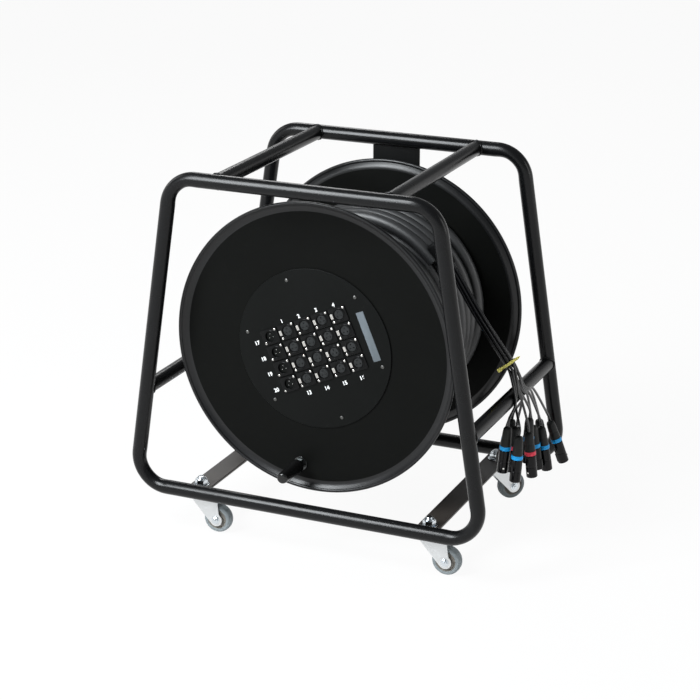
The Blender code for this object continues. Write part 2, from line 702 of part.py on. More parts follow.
def male_socket_mesh():
    """A flanged cup: its flange stands on the panel's front, at its own y = 0."""
    body = add("male_flange_pattern", box_mesh((SOCKET_WIDTH, SOCKET_FACE, SOCKET_HEIGHT), SOCKET_CORNER, segments=1),
               at(0.0, -SOCKET_FACE / 2, 0.0))
    join(body, add("male_body_pattern", rod_mesh(MALE_BODY_RADIUS, MALE_BODY_DEPTH, 12),
                   along_y(0.0, MALE_BODY_DEPTH / 2 - SOCKET_FACE / 2, 0.0)))
    cut(body, add("male_mouth_pattern", rod_mesh(MALE_MOUTH_RADIUS, 2 * MALE_MOUTH_DEPTH, 14),
                  along_y(0.0, -SOCKET_FACE, 0.0)))
    return evaluated_mesh(body)


# Winding handle

def build_handle(drum):
    """A nut and stud on the front flange, and a grip that turns on the stud."""
    x = HANDLE_RADIUS_ON_DRUM * math.cos(HANDLE_ANGLE)
    z = DRUM_Z + HANDLE_RADIUS_ON_DRUM * math.sin(HANDLE_ANGLE)
    base = -FLANGE_FRONT_Y + GAP
    nut_top = base + WASHER_THICKNESS + STUD_NUT_HEIGHT
    pin_end = -GRIP_FRONT_Y - GRIP_END_WALL - RUNNING_GAP
    profile = [(0.0, pin_end), (STUD_RADIUS, pin_end), (STUD_RADIUS, base + WASHER_THICKNESS),
               (STUD_WASHER_RADIUS, base + WASHER_THICKNESS), (STUD_WASHER_RADIUS, base), (0.0, base)]
    stud = turned("handle_stud", profile, along_y(x, 0.0, z), ZINC, sides=12)
    nut_radius = STUD_NUT_ACROSS_FLATS / 2 / math.cos(math.pi / 6)
    join(stud, add("handle_nut", rod_mesh(nut_radius, STUD_NUT_HEIGHT + GAP, 6),
                   along_y(x, -(nut_top - STUD_NUT_HEIGHT / 2 - GAP / 2), z)))
    front = -GRIP_FRONT_Y
    back = max(front - GRIP_LENGTH, nut_top + RUNNING_GAP)
    bore = STUD_RADIUS + RUNNING_GAP
    grip_profile = [(0.0, front), (GRIP_RADIUS - 0.004, front), (GRIP_RADIUS, front - 0.004),
                    (GRIP_RADIUS - 0.0012, (front + back) / 2), (GRIP_RADIUS, back + 0.003),
                    (GRIP_RADIUS - 0.002, back), (bore, back), (bore, front - GRIP_END_WALL),
                    (0.0, front - GRIP_END_WALL)]
    grip = turned("handle_grip", grip_profile, along_y(x, 0.0, z), GRIP_BLACK, sides=14)
    carry(drum, stud, grip)


# Cable on the drum

def winding_point(turn, total):
    """The cable's centre after a number of turns, as radius, angle and depth."""
    front = FLANGE_FRONT_Y + FLANGE_THICKNESS + CABLE_RADIUS + CABLE_CLEARANCE
    rear = FLANGE_REAR_Y - FLANGE_THICKNESS - CABLE_RADIUS - CABLE_CLEARANCE
    lower = UPPER_LAYER_RADIUS - LAYER_STEP
    angle = CABLE_END_ANGLE + 2 * math.pi * (total - turn)
    if turn <= LOWER_TURNS:
        return lower, angle, front + (rear - front) * turn / LOWER_TURNS
    if turn <= LOWER_TURNS + CLIMB_TURNS:
        share = (turn - LOWER_TURNS) / CLIMB_TURNS
        return lower + LAYER_STEP * share, angle, rear
    passed = turn - LOWER_TURNS - CLIMB_TURNS
    y = rear
    for index, step in enumerate(UPPER_STEPS):
        y -= step * min(1.0, max(0.0, passed - index))
    return UPPER_LAYER_RADIUS, angle, y


def winding_line():
    """The whole winding's centre line, its ends run straight for one cable diameter."""
    total = LOWER_TURNS + CLIMB_TURNS + len(UPPER_STEPS)
    count = round(total * POINTS_PER_TURN)
    line = []
    for index in range(count + 1):
        radius, angle, y = winding_point(total * index / count, total)
        line.append(Vector((radius * math.cos(angle), y, DRUM_Z + radius * math.sin(angle))))
    for end, angle, sign in ((0, CABLE_END_ANGLE + 2 * math.pi * total, -1), (-1, CABLE_END_ANGLE, 1)):
        tangent = Vector((math.sin(angle), 0.0, -math.cos(angle))) * sign
        straight = line[end] + tangent * 2 * CABLE_RADIUS
        line.insert(0 if end == 0 else len(line), straight)
    return line


def least_gap(line, diameter, skip):
    """The smallest gap between stretches of a line that lie at least skip points apart."""
    least = 1.0
    for i, first in enumerate(line):
        for j in range(i + skip, len(line) - 1):
            start = line[j]
            run = line[j + 1] - start
            share = max(0.0, min(1.0, (first - start).dot(run) / run.length_squared))
            least = min(least, (first - start - run * share).length)
    return least - diameter


def build_winding(drum):
    line = winding_line()
    winding = tube("cable_winding", line, CABLE_RADIUS, CABLE_PVC, resolution=1)
    gap = least_gap(line, 2 * CABLE_RADIUS, POINTS_PER_TURN // 2)
    print(f"least gap between the cable's turns: {gap * 1000:.2f} mm")
    carry(drum, winding)


# Breakout, tails and plugs, which lie over the right side tube

PLUGS = (
    ((0.3100, 0.1510, 0.1690), (0.295, 0.153, -0.943), 0.033),
    ((0.3100, 0.1036, 0.1759), (0.145, 0.064, -0.987), 0.025),
    ((0.3000, 0.0854, 0.1832), (0.140, 0.050, -0.988), 0.0175),
    ((0.3130, 0.0290, 0.1926), (0.090, 0.040, -0.995), 0.003),
    ((0.3210, -0.0440, 0.2136), (-0.055, -0.023, -0.998), -0.005),
    ((0.2920, 0.0260, 0.2003), (-0.140, -0.060, -0.988), 0.010),
    ((0.3000, -0.0394, 0.2248), (-0.090, -0.040, -0.995), -0.012),
)
TAIL_STARTS = ((1.0, 0.0), (0.5, 0.87), (0.5, -0.87), (-0.5, 0.87), (-1.0, 0.0), (0.0, 0.0), (-0.5, -0.87))
SLEEVE_Y = 0.033
TRUNK_KNOTS = ((0.060, 0.026), (0.100, 0.018), (0.150, 0.013), (0.202, 0.010), (0.214, 0.0095))
TIE_REACH = 0.202


def swept_radius():
    """How far from the axis the turning cable reaches."""
    return math.hypot(UPPER_LAYER_RADIUS + CABLE_RADIUS, 2 * CABLE_RADIUS)


def tail_line(reach, y):
    """A point on the straight stretch that leaves the drum, reach past where it is closest."""
    radius = swept_radius() + TRUNK_CLEARANCE + TRUNK_RADIUS
    foot = Vector((math.cos(TAIL_FOOT_ANGLE), 0.0, math.sin(TAIL_FOOT_ANGLE))) * radius
    forward = Vector((math.sin(TAIL_FOOT_ANGLE), 0.0, -math.cos(TAIL_FOOT_ANGLE)))
    point = foot + forward * reach
    return Vector((point.x, y, DRUM_Z + point.z))


def build_breakout():
    """A moulded sleeve over the cable's end, hollowed to the radius of the turning cable."""
    back = tail_line(-SLEEVE_BACK, SLEEVE_Y)
    front = tail_line(SLEEVE_FRONT, SLEEVE_Y)
    length = SLEEVE_BACK + SLEEVE_FRONT
    profile = [(0.0, length), (SLEEVE_END_RADIUS, length), (SLEEVE_RADIUS, length * 0.45),
               (SLEEVE_RADIUS, 0.004), (SLEEVE_RADIUS - 0.004, 0.0), (0.0, 0.0)]
    sleeve = turned("cable_breakout", profile, along(front - back, back), MOULDED_BLACK, sides=16)
    cut(sleeve, add("drum_sweep", rod_mesh(swept_radius() + GAP, 8 * SLEEVE_RADIUS, 96), along_y(0.0, SLEEVE_Y, DRUM_Z)))


def tail_route(number):
    """The free part of one tail: out of the tie, over the side tube and down to its plug."""
    top, down, cross_y = PLUGS[number]
    top = Vector(top)
    down = Vector(down).normalized()
    start = tail_line(TIE_REACH + 0.007, TRUNK_KNOTS[-2][1])
    tube_x = leg_x(SIDE_TUBE_Z)
    clear = TUBE_RADIUS + TAIL_RADIUS + TAIL_CLEARANCE
    over = Vector((tube_x + clear * math.sin(math.radians(50)), cross_y,
                   SIDE_TUBE_Z + clear * math.cos(math.radians(50))))
    beside_y = cross_y + (top.y - cross_y) * 0.3
    beside = Vector((tube_x + clear, beside_y, SIDE_TUBE_Z - 0.004))
    sideways, outward = TAIL_STARTS[number]
    away = Vector((math.cos(TAIL_FOOT_ANGLE), 0.0, math.sin(TAIL_FOOT_ANGLE)))
    first = start + (Vector((0.0, sideways, 0.0)) + away * outward) * TAIL_PITCH
    lead = first.lerp(over, 0.45) + Vector((0.002, 0.0, 0.002))
    straight = 2 * TAIL_RADIUS + GAP
    points = smooth_route([first, lead, over, beside, top - down * 0.014, top - down * straight],
                          TAIL_SPACING)
    return points + [top - down * GAP]


def build_tails():
    """The tails: one bundle as far as the tie, then a cord to each plug."""
    start = SLEEVE_FRONT + GAP
    knots = [tail_line(start + 2 * TRUNK_RADIUS, SLEEVE_Y)]
    knots += [tail_line(*knot) for knot in TRUNK_KNOTS]
    route = [tail_line(start, SLEEVE_Y)] + smooth_route(knots, TRUNK_SPACING)
    trunk_curve = tube("trunk_curve", route, TRUNK_RADIUS)
    tails = add("tails", evaluated_mesh(trunk_curve), Matrix.Identity(4), CABLE_PVC)
    bpy.data.objects.remove(trunk_curve)
    for number in range(len(PLUGS)):
        curve = tube(f"tail_curve_{number + 1}", tail_route(number), TAIL_RADIUS)
        join(tails, add(f"tail_pattern_{number + 1}", evaluated_mesh(curve), Matrix.Identity(4)))
        bpy.data.objects.remove(curve)
    tie_place = tail_line(TIE_REACH, TRUNK_KNOTS[-2][1])
    before = tail_line(TIE_REACH - 0.01, TRUNK_KNOTS[-2][1])
    inner = TRUNK_RADIUS + 2 * GAP
    outer = inner + TIE_THICKNESS
    half = TIE_WIDTH / 2
    turned("tail_tie", [(outer, half), (outer, -half), (inner, -half), (inner, half)],
           along(tie_place - before, tie_place), TIE_YELLOW, sides=12, ring=True)


def build_plugs():
    """A cable plug on each tail: boot, ring, shell and open mouth, turned about its length."""
    long = PLUG_LENGTH
    boot = long - PLUG_BOOT_LENGTH
    profile = [(0.0, long), (PLUG_NECK_RADIUS, long), (PLUG_BOOT_RADIUS, boot + 0.004),
               (PLUG_RADIUS - 0.001, boot), (PLUG_RADIUS, boot - 0.003), (PLUG_RADIUS, 0.001),
               (PLUG_RADIUS - 0.0005, 0.0), (PLUG_MOUTH_RADIUS, 0.0),
               (PLUG_MOUTH_RADIUS, PLUG_MOUTH_DEPTH), (0.0, PLUG_MOUTH_DEPTH)]
    for number, (top, down, cross_y) in enumerate(PLUGS, 1):
        down = Vector(down).normalized()
        end = Vector(top) + down * long
        turned(f"plug_{number}", profile, along(-down, end), MOULDED_BLACK, sides=10)


def main():
    clear_scene()
    build_hoops()
    build_cross_tubes()
    build_castor_bars()
    build_rear_bar()
    build_axle()
    build_castors()
    drum = pivot("drum_pivot", 0.0, 0.0, DRUM_Z)
    build_drum_shell(drum)
    build_panel(drum)
    build_handle(drum)
    build_winding(drum)
    build_breakout()
    build_tails()
    build_plugs()


main()
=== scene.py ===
"""Looks of a multicore cable drum in a tube frame on castors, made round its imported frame.

Metres, +Z up. X runs to the right and Y to the rear, and the drum stands on z = 0.
"""

import math

import bmesh
import bpy
from mathutils import Matrix, Vector


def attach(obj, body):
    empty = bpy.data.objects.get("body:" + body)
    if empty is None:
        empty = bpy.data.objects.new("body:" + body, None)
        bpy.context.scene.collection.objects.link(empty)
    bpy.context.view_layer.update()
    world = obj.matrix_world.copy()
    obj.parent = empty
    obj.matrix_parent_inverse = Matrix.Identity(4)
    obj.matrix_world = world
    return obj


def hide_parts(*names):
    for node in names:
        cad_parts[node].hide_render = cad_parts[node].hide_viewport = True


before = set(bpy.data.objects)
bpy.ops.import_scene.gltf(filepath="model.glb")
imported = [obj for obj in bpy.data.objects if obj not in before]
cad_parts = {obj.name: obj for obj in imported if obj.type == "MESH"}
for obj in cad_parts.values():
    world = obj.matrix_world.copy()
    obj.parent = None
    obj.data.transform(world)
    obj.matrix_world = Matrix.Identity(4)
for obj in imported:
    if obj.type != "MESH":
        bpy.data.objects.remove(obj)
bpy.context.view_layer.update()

# Studio
# A pale floor that runs out of the picture on every side under a dim room, a tall soft lamp
# at the front left and weaker ones at the sides and back. The camera looks down from the right.

CAMERA_PLACE = (1.3129, -2.9644, 1.433)
CAMERA_TARGET = (-0.0017, 0.0, 0.3034)
LAMP_TARGET = (0, 0, 0.3)
SENSOR_WIDTH = 36.0
FOCAL_PIXELS = 2014
PICTURE_PIXELS = 700
FLOOR_REACH = 400.0
FLOOR_SEEN_SHARE = 0.94
ROOM_STRENGTH = 0.22
ROOM_COLOUR = (0.96, 0.98, 1.0, 1.0)
BACKDROP_COLOUR = (0.8, 0.8, 0.8, 1.0)
BACKDROP_TOP = 0.27
BACKDROP_FULL = 0.20


def in_scene(name, data):
    thing = bpy.data.objects.new(name, data)
    bpy.context.scene.collection.objects.link(thing)
    return thing


def aimed(thing, place, target):
    """A camera or lamp at a place, looking at a target."""
    thing.location = place
    thing.rotation_euler = (Vector(target) - thing.location).to_track_quat('-Z', 'Y').to_euler()
    return thing


def node_of(tree, kind, values=None, **settings):
    """A new node with its settings, and the values that its inputs start with."""
    node = tree.nodes.new(kind)
    for name, value in settings.items():
        setattr(node, name, value)
    for name, value in (values or {}).items():
        node.inputs[name].default_value = value
    return node


def wired(tree, *links):
    """Links, each as a node and its output's name or number, then a node and its input's."""
    for leaving, output, entering, entry in links:
        tree.links.new(leaving.outputs[output], entering.inputs[entry])


def seen_directly(tree):
    """A node that gives one where the camera, a mirror or glass looks at the surface, and else nought."""
    path = node_of(tree, 'ShaderNodeLightPath')
    mirror = node_of(tree, 'ShaderNodeMath', operation='MAXIMUM')
    glass = node_of(tree, 'ShaderNodeMath', operation='MAXIMUM')
    wired(tree, (path, "Is Camera Ray", mirror, 0), (path, "Is Glossy Ray", mirror, 1),
          (mirror, 0, glass, 0), (path, "Is Transmission Ray", glass, 1))
    return glass


def show_and_light(tree, lighting, shown, weight, output):
    """One shader lights the scene, and another, by a weight, is what is seen directly."""
    share = node_of(tree, 'ShaderNodeMath', operation='MULTIPLY')
    mix = node_of(tree, 'ShaderNodeMixShader')
    wired(tree, (weight, 0, share, 0), (seen_directly(tree), 0, share, 1), (share, 0, mix, 0),
          (lighting, 0, mix, 1), (shown, 0, mix, 2), (mix, 0, node_of(tree, output), 0))


def lay_floor():
    mesh = bpy.data.meshes.new("floor")
    corners = ((-1, -1), (1, -1), (1, 1), (-1, 1))
    mesh.from_pydata([(x * FLOOR_REACH, y * FLOOR_REACH, 0) for x, y in corners], [], [(0, 1, 2, 3)])
    material = bpy.data.materials.new("pale_floor")
    material.use_nodes = True
    tree = material.node_tree
    tree.nodes.clear()
    paint = node_of(tree, 'ShaderNodeBsdfDiffuse', {"Color": (0.86, 0.86, 0.86, 1.0)})
    glow = node_of(tree, 'ShaderNodeEmission', {"Color": (1.0, 1.0, 1.0, 1.0)})
    weight = node_of(tree, 'ShaderNodeValue')
    weight.outputs[0].default_value = FLOOR_SEEN_SHARE
    show_and_light(tree, paint, glow, weight, 'ShaderNodeOutputMaterial')
    mesh.materials.append(material)
    floor = in_scene("floor", mesh)


def hang_lamp(name, place, size, watts, colour=(1.0, 1.0, 1.0)):
    data = bpy.data.lights.new(name, 'AREA')
    data.shape = 'RECTANGLE'
    data.size, data.size_y = size
    data.energy = watts
    data.color = colour
    aimed(in_scene(name, data), place, LAMP_TARGET)


def fill_room():
    """An even dim room with a pale backdrop all round, as high as a camera near the floor looks."""
    world = bpy.data.worlds.new("room")
    bpy.context.scene.world = world
    world.use_nodes = True
    tree = world.node_tree
    tree.nodes.clear()
    room = node_of(tree, 'ShaderNodeBackground', {"Color": ROOM_COLOUR, "Strength": ROOM_STRENGTH})
    backdrop = node_of(tree, 'ShaderNodeBackground', {"Color": BACKDROP_COLOUR, "Strength": 1.0})
    place = node_of(tree, 'ShaderNodeTexCoord')
    height = node_of(tree, 'ShaderNodeSeparateXYZ')
    low = node_of(tree, 'ShaderNodeMapRange', {"From Min": BACKDROP_TOP, "From Max": BACKDROP_FULL})
    wired(tree, (place, "Generated", height, 0), (height, "Z", low, "Value"))
    show_and_light(tree, room, backdrop, low, 'ShaderNodeOutputWorld')


camera = aimed(in_scene("camera", bpy.data.cameras.new("camera")), CAMERA_PLACE, CAMERA_TARGET)
camera.data.sensor_width = SENSOR_WIDTH
camera.data.lens = SENSOR_WIDTH * FOCAL_PIXELS / PICTURE_PIXELS
bpy.context.scene.camera = camera
bpy.context.scene.view_settings.view_transform = 'Standard'
lay_floor()
fill_room()
hang_lamp("front_left", (-1.07, -1.92, 2.08), (0.85, 1.8), 128, (0.93, 0.97, 1.0))
hang_lamp("left_side", (-3.0, 0.4, 1.9), (1.0, 1.6), 10)
hang_lamp("back_left", (-1.5, 2.5, 2.3), (0.8, 1.0), 15)
hang_lamp("right_side", (3.0, 0.6, 1.5), (1.0, 1.8), 15)


# Tube frame
# Two bent hoops of round steel tube with four straight tubes welded between them, all
# powder coated satin black. The bends are drawn in a little, as a mandrel bend is.

TUBE_RADIUS = 0.0125
HOOP_Y = 0.1957
RAIL_Z = 0.083
TOP_RAIL_Z = RAIL_Z + 0.5456
HOOP_HALF_WIDTH_BOTTOM = 0.316
HOOP_HALF_WIDTH_TOP = 0.231
BEND_RADIUS = 0.052
BEND_SQUEEZE = 0.91
TOP_TUBE_X = 0.149
SIDE_TUBE_Z = RAIL_Z + 0.1755
BEND_STEPS = 26
LEAD_STEPS = 3
LEAD_SPACING = 0.002
SQUEEZE_LEAD = 0.006
SQUEEZE_RUN = 0.032
COPE_GAP = 0.0003

FLOAT = 'NodeSocketFloat'
INTEGER = 'NodeSocketInt'
VECTOR = 'NodeSocketVector'
OBJECT = 'NodeSocketObject'
MATERIAL = 'NodeSocketMaterial'
GEOMETRY = 'NodeSocketGeometry'


def group_of(name, kind, inputs, outputs):
    """A node group, and its two end nodes. A socket is a name, a kind and perhaps a first value."""
    tree = bpy.data.node_groups.new(name, kind)
    for in_out, sockets in (('INPUT', inputs), ('OUTPUT', outputs)):
        for label, socket_type, *first in sockets:
            socket = tree.interface.new_socket(label, in_out=in_out, socket_type=socket_type)
            if first:
                socket.default_value = first[0]
    return tree, node_of(tree, 'NodeGroupInput'), node_of(tree, 'NodeGroupOutput')


def grain_group():
    """The fine grain of a sprayed or moulded surface, and a slow cloud that shifts its gloss."""
    tree, given, result = group_of("grain", 'ShaderNodeTree', (
        ("Scale", FLOAT, 900.0), ("Depth", FLOAT, 0.1), ("Cloud Scale", FLOAT, 9.0)),
        (("Normal", VECTOR), ("Cloud", FLOAT)))
    place = node_of(tree, 'ShaderNodeTexCoord')
    fine = node_of(tree, 'ShaderNodeTexNoise', {"Detail": 3.0})
    slow = node_of(tree, 'ShaderNodeTexNoise', {"Detail": 4.0})
    bump = node_of(tree, 'ShaderNodeBump', {"Distance": 0.0004})
    wired(tree, (place, "Object", fine, "Vector"), (place, "Object", slow, "Vector"),
          (given, "Scale", fine, "Scale"), (given, "Cloud Scale", slow, "Scale"),
          (given, "Depth", bump, "Strength"), (fine, "Fac", bump, "Height"),
          (bump, "Normal", result, "Normal"), (slow, "Fac", result, "Cloud"))
    return tree


def scuff_group():
    """Thin scratches and rubbed spots, as a mask."""
    tree, given, result = group_of("scuffs", 'ShaderNodeTree', (
        ("Scale", FLOAT, 40.0), ("Amount", FLOAT, 0.1)), (("Mask", FLOAT),))
    place = node_of(tree, 'ShaderNodeTexCoord')
    noise = node_of(tree, 'ShaderNodeTexNoise', {"Detail": 8.0, "Roughness": 0.7, "Distortion": 0.6})
    edge = node_of(tree, 'ShaderNodeMapRange', {"From Min": 0.62, "From Max": 0.72})
    amount = node_of(tree, 'ShaderNodeMath', operation='MULTIPLY')
    wired(tree, (place, "Object", noise, "Vector"), (given, "Scale", noise, "Scale"),
          (noise, "Fac", edge, "Value"), (edge, "Result", amount, 0), (given, "Amount", amount, 1),
          (amount, 0, result, "Mask"))
    return tree


GRAIN = grain_group()
SCUFFS = scuff_group()


def finish(name, colour, roughness, metallic=0.0, specular=0.5, grain=(900.0, 0.1), cloud=0.08,
           tint=0.12, scuffs=(40.0, 0.0), scuff_colour=(0.2, 0.2, 0.2)):
    """A surface with grain and scuffs, whose gloss drifts over it by cloud and its colour by tint."""
    material = bpy.data.materials.new(name)
    material.use_nodes = True
    tree = material.node_tree
    shader = tree.nodes["Principled BSDF"]
    shader.inputs["Metallic"].default_value = metallic
    shader.inputs["Specular IOR Level"].default_value = specular
    texture = node_of(tree, 'ShaderNodeGroup', node_tree=GRAIN)
    texture.inputs["Scale"].default_value, texture.inputs["Depth"].default_value = grain
    marks = node_of(tree, 'ShaderNodeGroup', node_tree=SCUFFS)
    marks.inputs["Scale"].default_value, marks.inputs["Amount"].default_value = scuffs
    drift = node_of(tree, 'ShaderNodeMix', data_type='RGBA')
    drift.inputs["A"].default_value = (*[c * (1 - tint) for c in colour], 1.0)
    drift.inputs["B"].default_value = (*[min(1.0, c * (1 + tint)) for c in colour], 1.0)
    worn = node_of(tree, 'ShaderNodeMix', data_type='RGBA')
    worn.inputs["B"].default_value = (*scuff_colour, 1.0)
    gloss = node_of(tree, 'ShaderNodeMapRange', {
        "From Min": 0.3, "From Max": 0.7, "To Min": max(0.02, roughness - cloud),
        "To Max": min(1.0, roughness + cloud)})
    wired(tree, (texture, "Cloud", drift, "Factor"), (drift, "Result", worn, "A"),
          (marks, "Mask", worn, "Factor"), (worn, "Result", shader, "Base Color"),
          (texture, "Cloud", gloss, "Value"), (gloss, "Result", shader, "Roughness"),
          (texture, "Normal", shader, "Normal"))
    return material


def coloured(mesh, material):
    mesh.materials.clear()
    mesh.materials.append(material)
    return mesh


def piece_of(name, mesh, material, body, replaced=(), sharp=35):
    """A finished piece: shaded smooth but for its sharp edges, on its body, in place of its CAD nodes."""
    mesh.name = name
    if material is not None:
        coloured(mesh, material)
    mesh.shade_smooth()
    mesh.set_sharp_from_angle(angle=math.radians(sharp))
    piece = in_scene(name, mesh)
    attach(piece, body)
    if replaced:
        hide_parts(*replaced)
    return piece


def skinned(rings, closed=False, capped=False):
    """A mesh over rings of points, each joined to the next. A ring of one point is a pole."""
    work = bmesh.new()
    rings = [[work.verts.new(point) for point in ring] for ring in rings]
    pairs = list(zip(rings, rings[1:]))
    if closed:
        pairs.append((rings[-1], rings[0]))
    for near, far in pairs:
        sides = max(len(near), len(far))
        for k in range(sides):
            n = (k + 1) % sides
            corners = (near[k % len(near)], near[n % len(near)], far[n % len(far)], far[k % len(far)])
            work.faces.new(list(dict.fromkeys(corners)))
    if capped:
        work.faces.new(rings[0])
        work.faces.new(rings[-1])
    bmesh.ops.recalc_face_normals(work, faces=work.faces)
    mesh = bpy.data.meshes.new("shape")
    work.to_mesh(mesh)
    work.free()
    return mesh


def round_angles(sides):
    return [2 * math.pi * k / sides for k in range(sides)]


def heading(points, index, closed):
    """Which way a line runs at one of its points."""
    before = points[index - 1] if closed or index else points[index]
    after = points[(index + 1) % len(points)] if closed or index < len(points) - 1 else points[index]
    return (after - before).normalized()


def tube_mesh(path, radius, sides, closed=False, swell=None, press=None):
    """A round tube along a path, each ring turned as little as it can be from the one before.

    press narrows a hoop that lies in X and Z within its own plane only.
    """
    points = [Vector(point) for point in path]
    rings = []
    across = Vector((0.0, 1.0, 0.0)) if press else None
    for index, point in enumerate(points):
        ahead = heading(points, index, closed)
        if across is None:
            across = ahead.orthogonal().normalized()
        across = (across - ahead * across.dot(ahead)).normalized()
        side = ahead.cross(across)
        size = radius * (swell[index] if swell else 1.0)
        if press:
            side = side * press[index]
        rings.append([point + (across * math.cos(a) + side * math.sin(a)) * size
                      for a in round_angles(sides)])
    if not closed:
        rings = [[points[0]]] + rings + [[points[-1]]]
    return skinned(rings, closed)


def hoop_line(y):
    """One hoop's centre line round its four bends, and how much the tube keeps of its width."""
    corners = [Vector((HOOP_HALF_WIDTH_BOTTOM, RAIL_Z)), Vector((HOOP_HALF_WIDTH_TOP, TOP_RAIL_Z)),
               Vector((-HOOP_HALF_WIDTH_TOP, TOP_RAIL_Z)), Vector((-HOOP_HALF_WIDTH_BOTTOM, RAIL_Z))]
    line = []
    widths = []
    for index, corner in enumerate(corners):
        back = (corners[index - 1] - corner).normalized()
        forth = (corners[(index + 1) % 4] - corner).normalized()
        half = back.angle(forth) / 2
        reach = BEND_RADIUS / math.tan(half)
        centre = corner + (back + forth).normalized() * BEND_RADIUS / math.sin(half)
        first = corner + back * reach - centre
        sweep = math.pi - 2 * half
        for step in range(-LEAD_STEPS, BEND_STEPS + LEAD_STEPS + 1):
            share = min(1.0, max(0.0, step / BEND_STEPS))
            run = (min(0, step) + max(0, step - BEND_STEPS)) * LEAD_SPACING
            into = min(share, 1 - share) * sweep * BEND_RADIUS - abs(run)
            rise = min(1.0, max(0.0, (into + SQUEEZE_LEAD) / SQUEEZE_RUN))
            ease = rise * rise * (3 - 2 * rise)
            spoke = Matrix.Rotation(sweep * share, 2) @ first
            shift = TUBE_RADIUS * (1 - BEND_SQUEEZE) * ease
            way = -back if step <= 0 else forth
            point = centre + spoke * (1 + shift / BEND_RADIUS) + way * run
            line.append((point.x, y, point.y))
            widths.append(1 - (1 - BEND_SQUEEZE) * ease)
    return line, widths


def leg_x(z):
    """Where a leg's centre line stands at a height."""
    share = (z - RAIL_Z) / (TOP_RAIL_Z - RAIL_Z)
    return HOOP_HALF_WIDTH_BOTTOM + share * (HOOP_HALF_WIDTH_TOP - HOOP_HALF_WIDTH_BOTTOM)


def saddle_line(x, z, other, sign, sides, grown_by=0.0, gap=COPE_GAP, widest=1.0):
    """The line round a tube along Y where it meets the round of a hoop's tube.

    other is the direction of that tube's own axis in X and Z.
    """
    line = []
    for angle in round_angles(sides):
        offset = Vector((math.cos(angle), math.sin(angle))) * (TUBE_RADIUS + grown_by)
        aside = offset.x * other.y - offset.y * other.x
        dip = math.sqrt(max(0.0, (TUBE_RADIUS + gap) ** 2 - min(aside ** 2, TUBE_RADIUS ** 2 * widest)))
        line.append((x + offset.x, sign * (HOOP_Y - dip), z + offset.y))
    return line


def weld(name, bead, radius, sides, closed, depth, pace):
    """A weld bead along a line, rippled by a share of its radius."""
    ripple = [1 + depth * math.sin(pace * k) for k in range(len(bead))]
    mesh = tube_mesh(bead, radius, sides, closed, ripple)
    piece_of(name, mesh, coat, "frame", sharp=80)


coat = finish("satin_black_coat", (0.0040, 0.0042, 0.0046), 0.27, specular=0.25, grain=(1100.0, 0.012),
              cloud=0.04, scuffs=(55.0, 0.10), scuff_colour=(0.03, 0.03, 0.03))
flat_coat = finish("flat_black_coat", (0.0035, 0.0037, 0.0038), 0.40, specular=0.16, grain=(1100.0, 0.03))
for end, y in (("front", -HOOP_Y), ("rear", HOOP_Y)):
    line, widths = hoop_line(y)
    piece_of(f"{end}_hoop_tube", tube_mesh(line, TUBE_RADIUS, 48, True, press=widths), coat, "frame",
             [f"{end}_hoop"])
along_rail = Vector((1.0, 0.0))
along_leg = Vector((HOOP_HALF_WIDTH_TOP - HOOP_HALF_WIDTH_BOTTOM, TOP_RAIL_Z - RAIL_Z)).normalized()
for side, sign in (("left", -1), ("right", 1)):
    leaning = Vector((sign * along_leg.x, along_leg.y))
    for level, x, z, other in (("top", sign * TOP_TUBE_X, TOP_RAIL_Z, along_rail),
                               ("side", sign * leg_x(SIDE_TUBE_Z), SIDE_TUBE_Z, leaning)):
        coped = skinned([saddle_line(x, z, other, facing, 32) for facing in (-1, 1)], capped=True)
        piece_of(f"{level}_tube_{side}_welded", coped, coat, "frame", [f"{level}_tube_{side}"])
        for end, facing in (("front", -1), ("rear", 1)):
            bead = saddle_line(x, z, other, facing, 40, grown_by=0.0004, gap=0.0006, widest=0.96)
            weld(f"{level}_weld_{side}_{end}", bead, 0.0017, sides=8, closed=True, depth=0.16, pace=2.1)


# Flat bars
# Two flat steel bars across the bottom rails carry the castors, and an upright one in the
# rear hoop carries the drum. They are welded in and coated with the frame.

BAR_INSET = 0.106
BAR_X = HOOP_HALF_WIDTH_BOTTOM - BAR_INSET
BAR_WIDTH = 0.039
BAR_TOP_Z = 0.0800
BAR_SEAM_INSET = 0.002

# The castor bars' brown-grey base colour is a painted reflection of the pale floor and room on their black
# coat; the lighter scuffs on it are wear.
bar_scuffs_and_painted_reflection = finish("bar_coat_scuffs_and_painted_reflection", (0.036, 0.0305, 0.0265), 0.34, specular=0.35, grain=(1200.0, 0.03),
                  scuffs=(30.0, 0.25), scuff_colour=(0.10, 0.09, 0.085))
for name in ("castor_bar_left", "castor_bar_right"):
    coloured(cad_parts[name].data, bar_scuffs_and_painted_reflection)
seam_y = HOOP_Y - math.sqrt(TUBE_RADIUS ** 2 - (RAIL_Z - BAR_TOP_Z) ** 2)
for side, x in (("left", -BAR_X), ("right", BAR_X)):
    for end, sign in (("front", -1), ("rear", 1)):
        bead = [(x + (k / 14 - 0.5) * (BAR_WIDTH - BAR_SEAM_INSET), sign * seam_y, BAR_TOP_Z)
                for k in range(15)]
        weld(f"bar_weld_{side}_{end}", bead, 0.0016, sides=10, closed=False, depth=0.15, pace=2.3)
coloured(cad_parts["bearing_plate"].data, flat_coat)


# Stub axle and hub
# A turned steel axle with a flange against the upright bar and a nut behind it. The hub
# that runs on it is a bright steel tube with a round foot against the rear flange.

DRUM_Z = 0.352
EASE_STEPS = 3


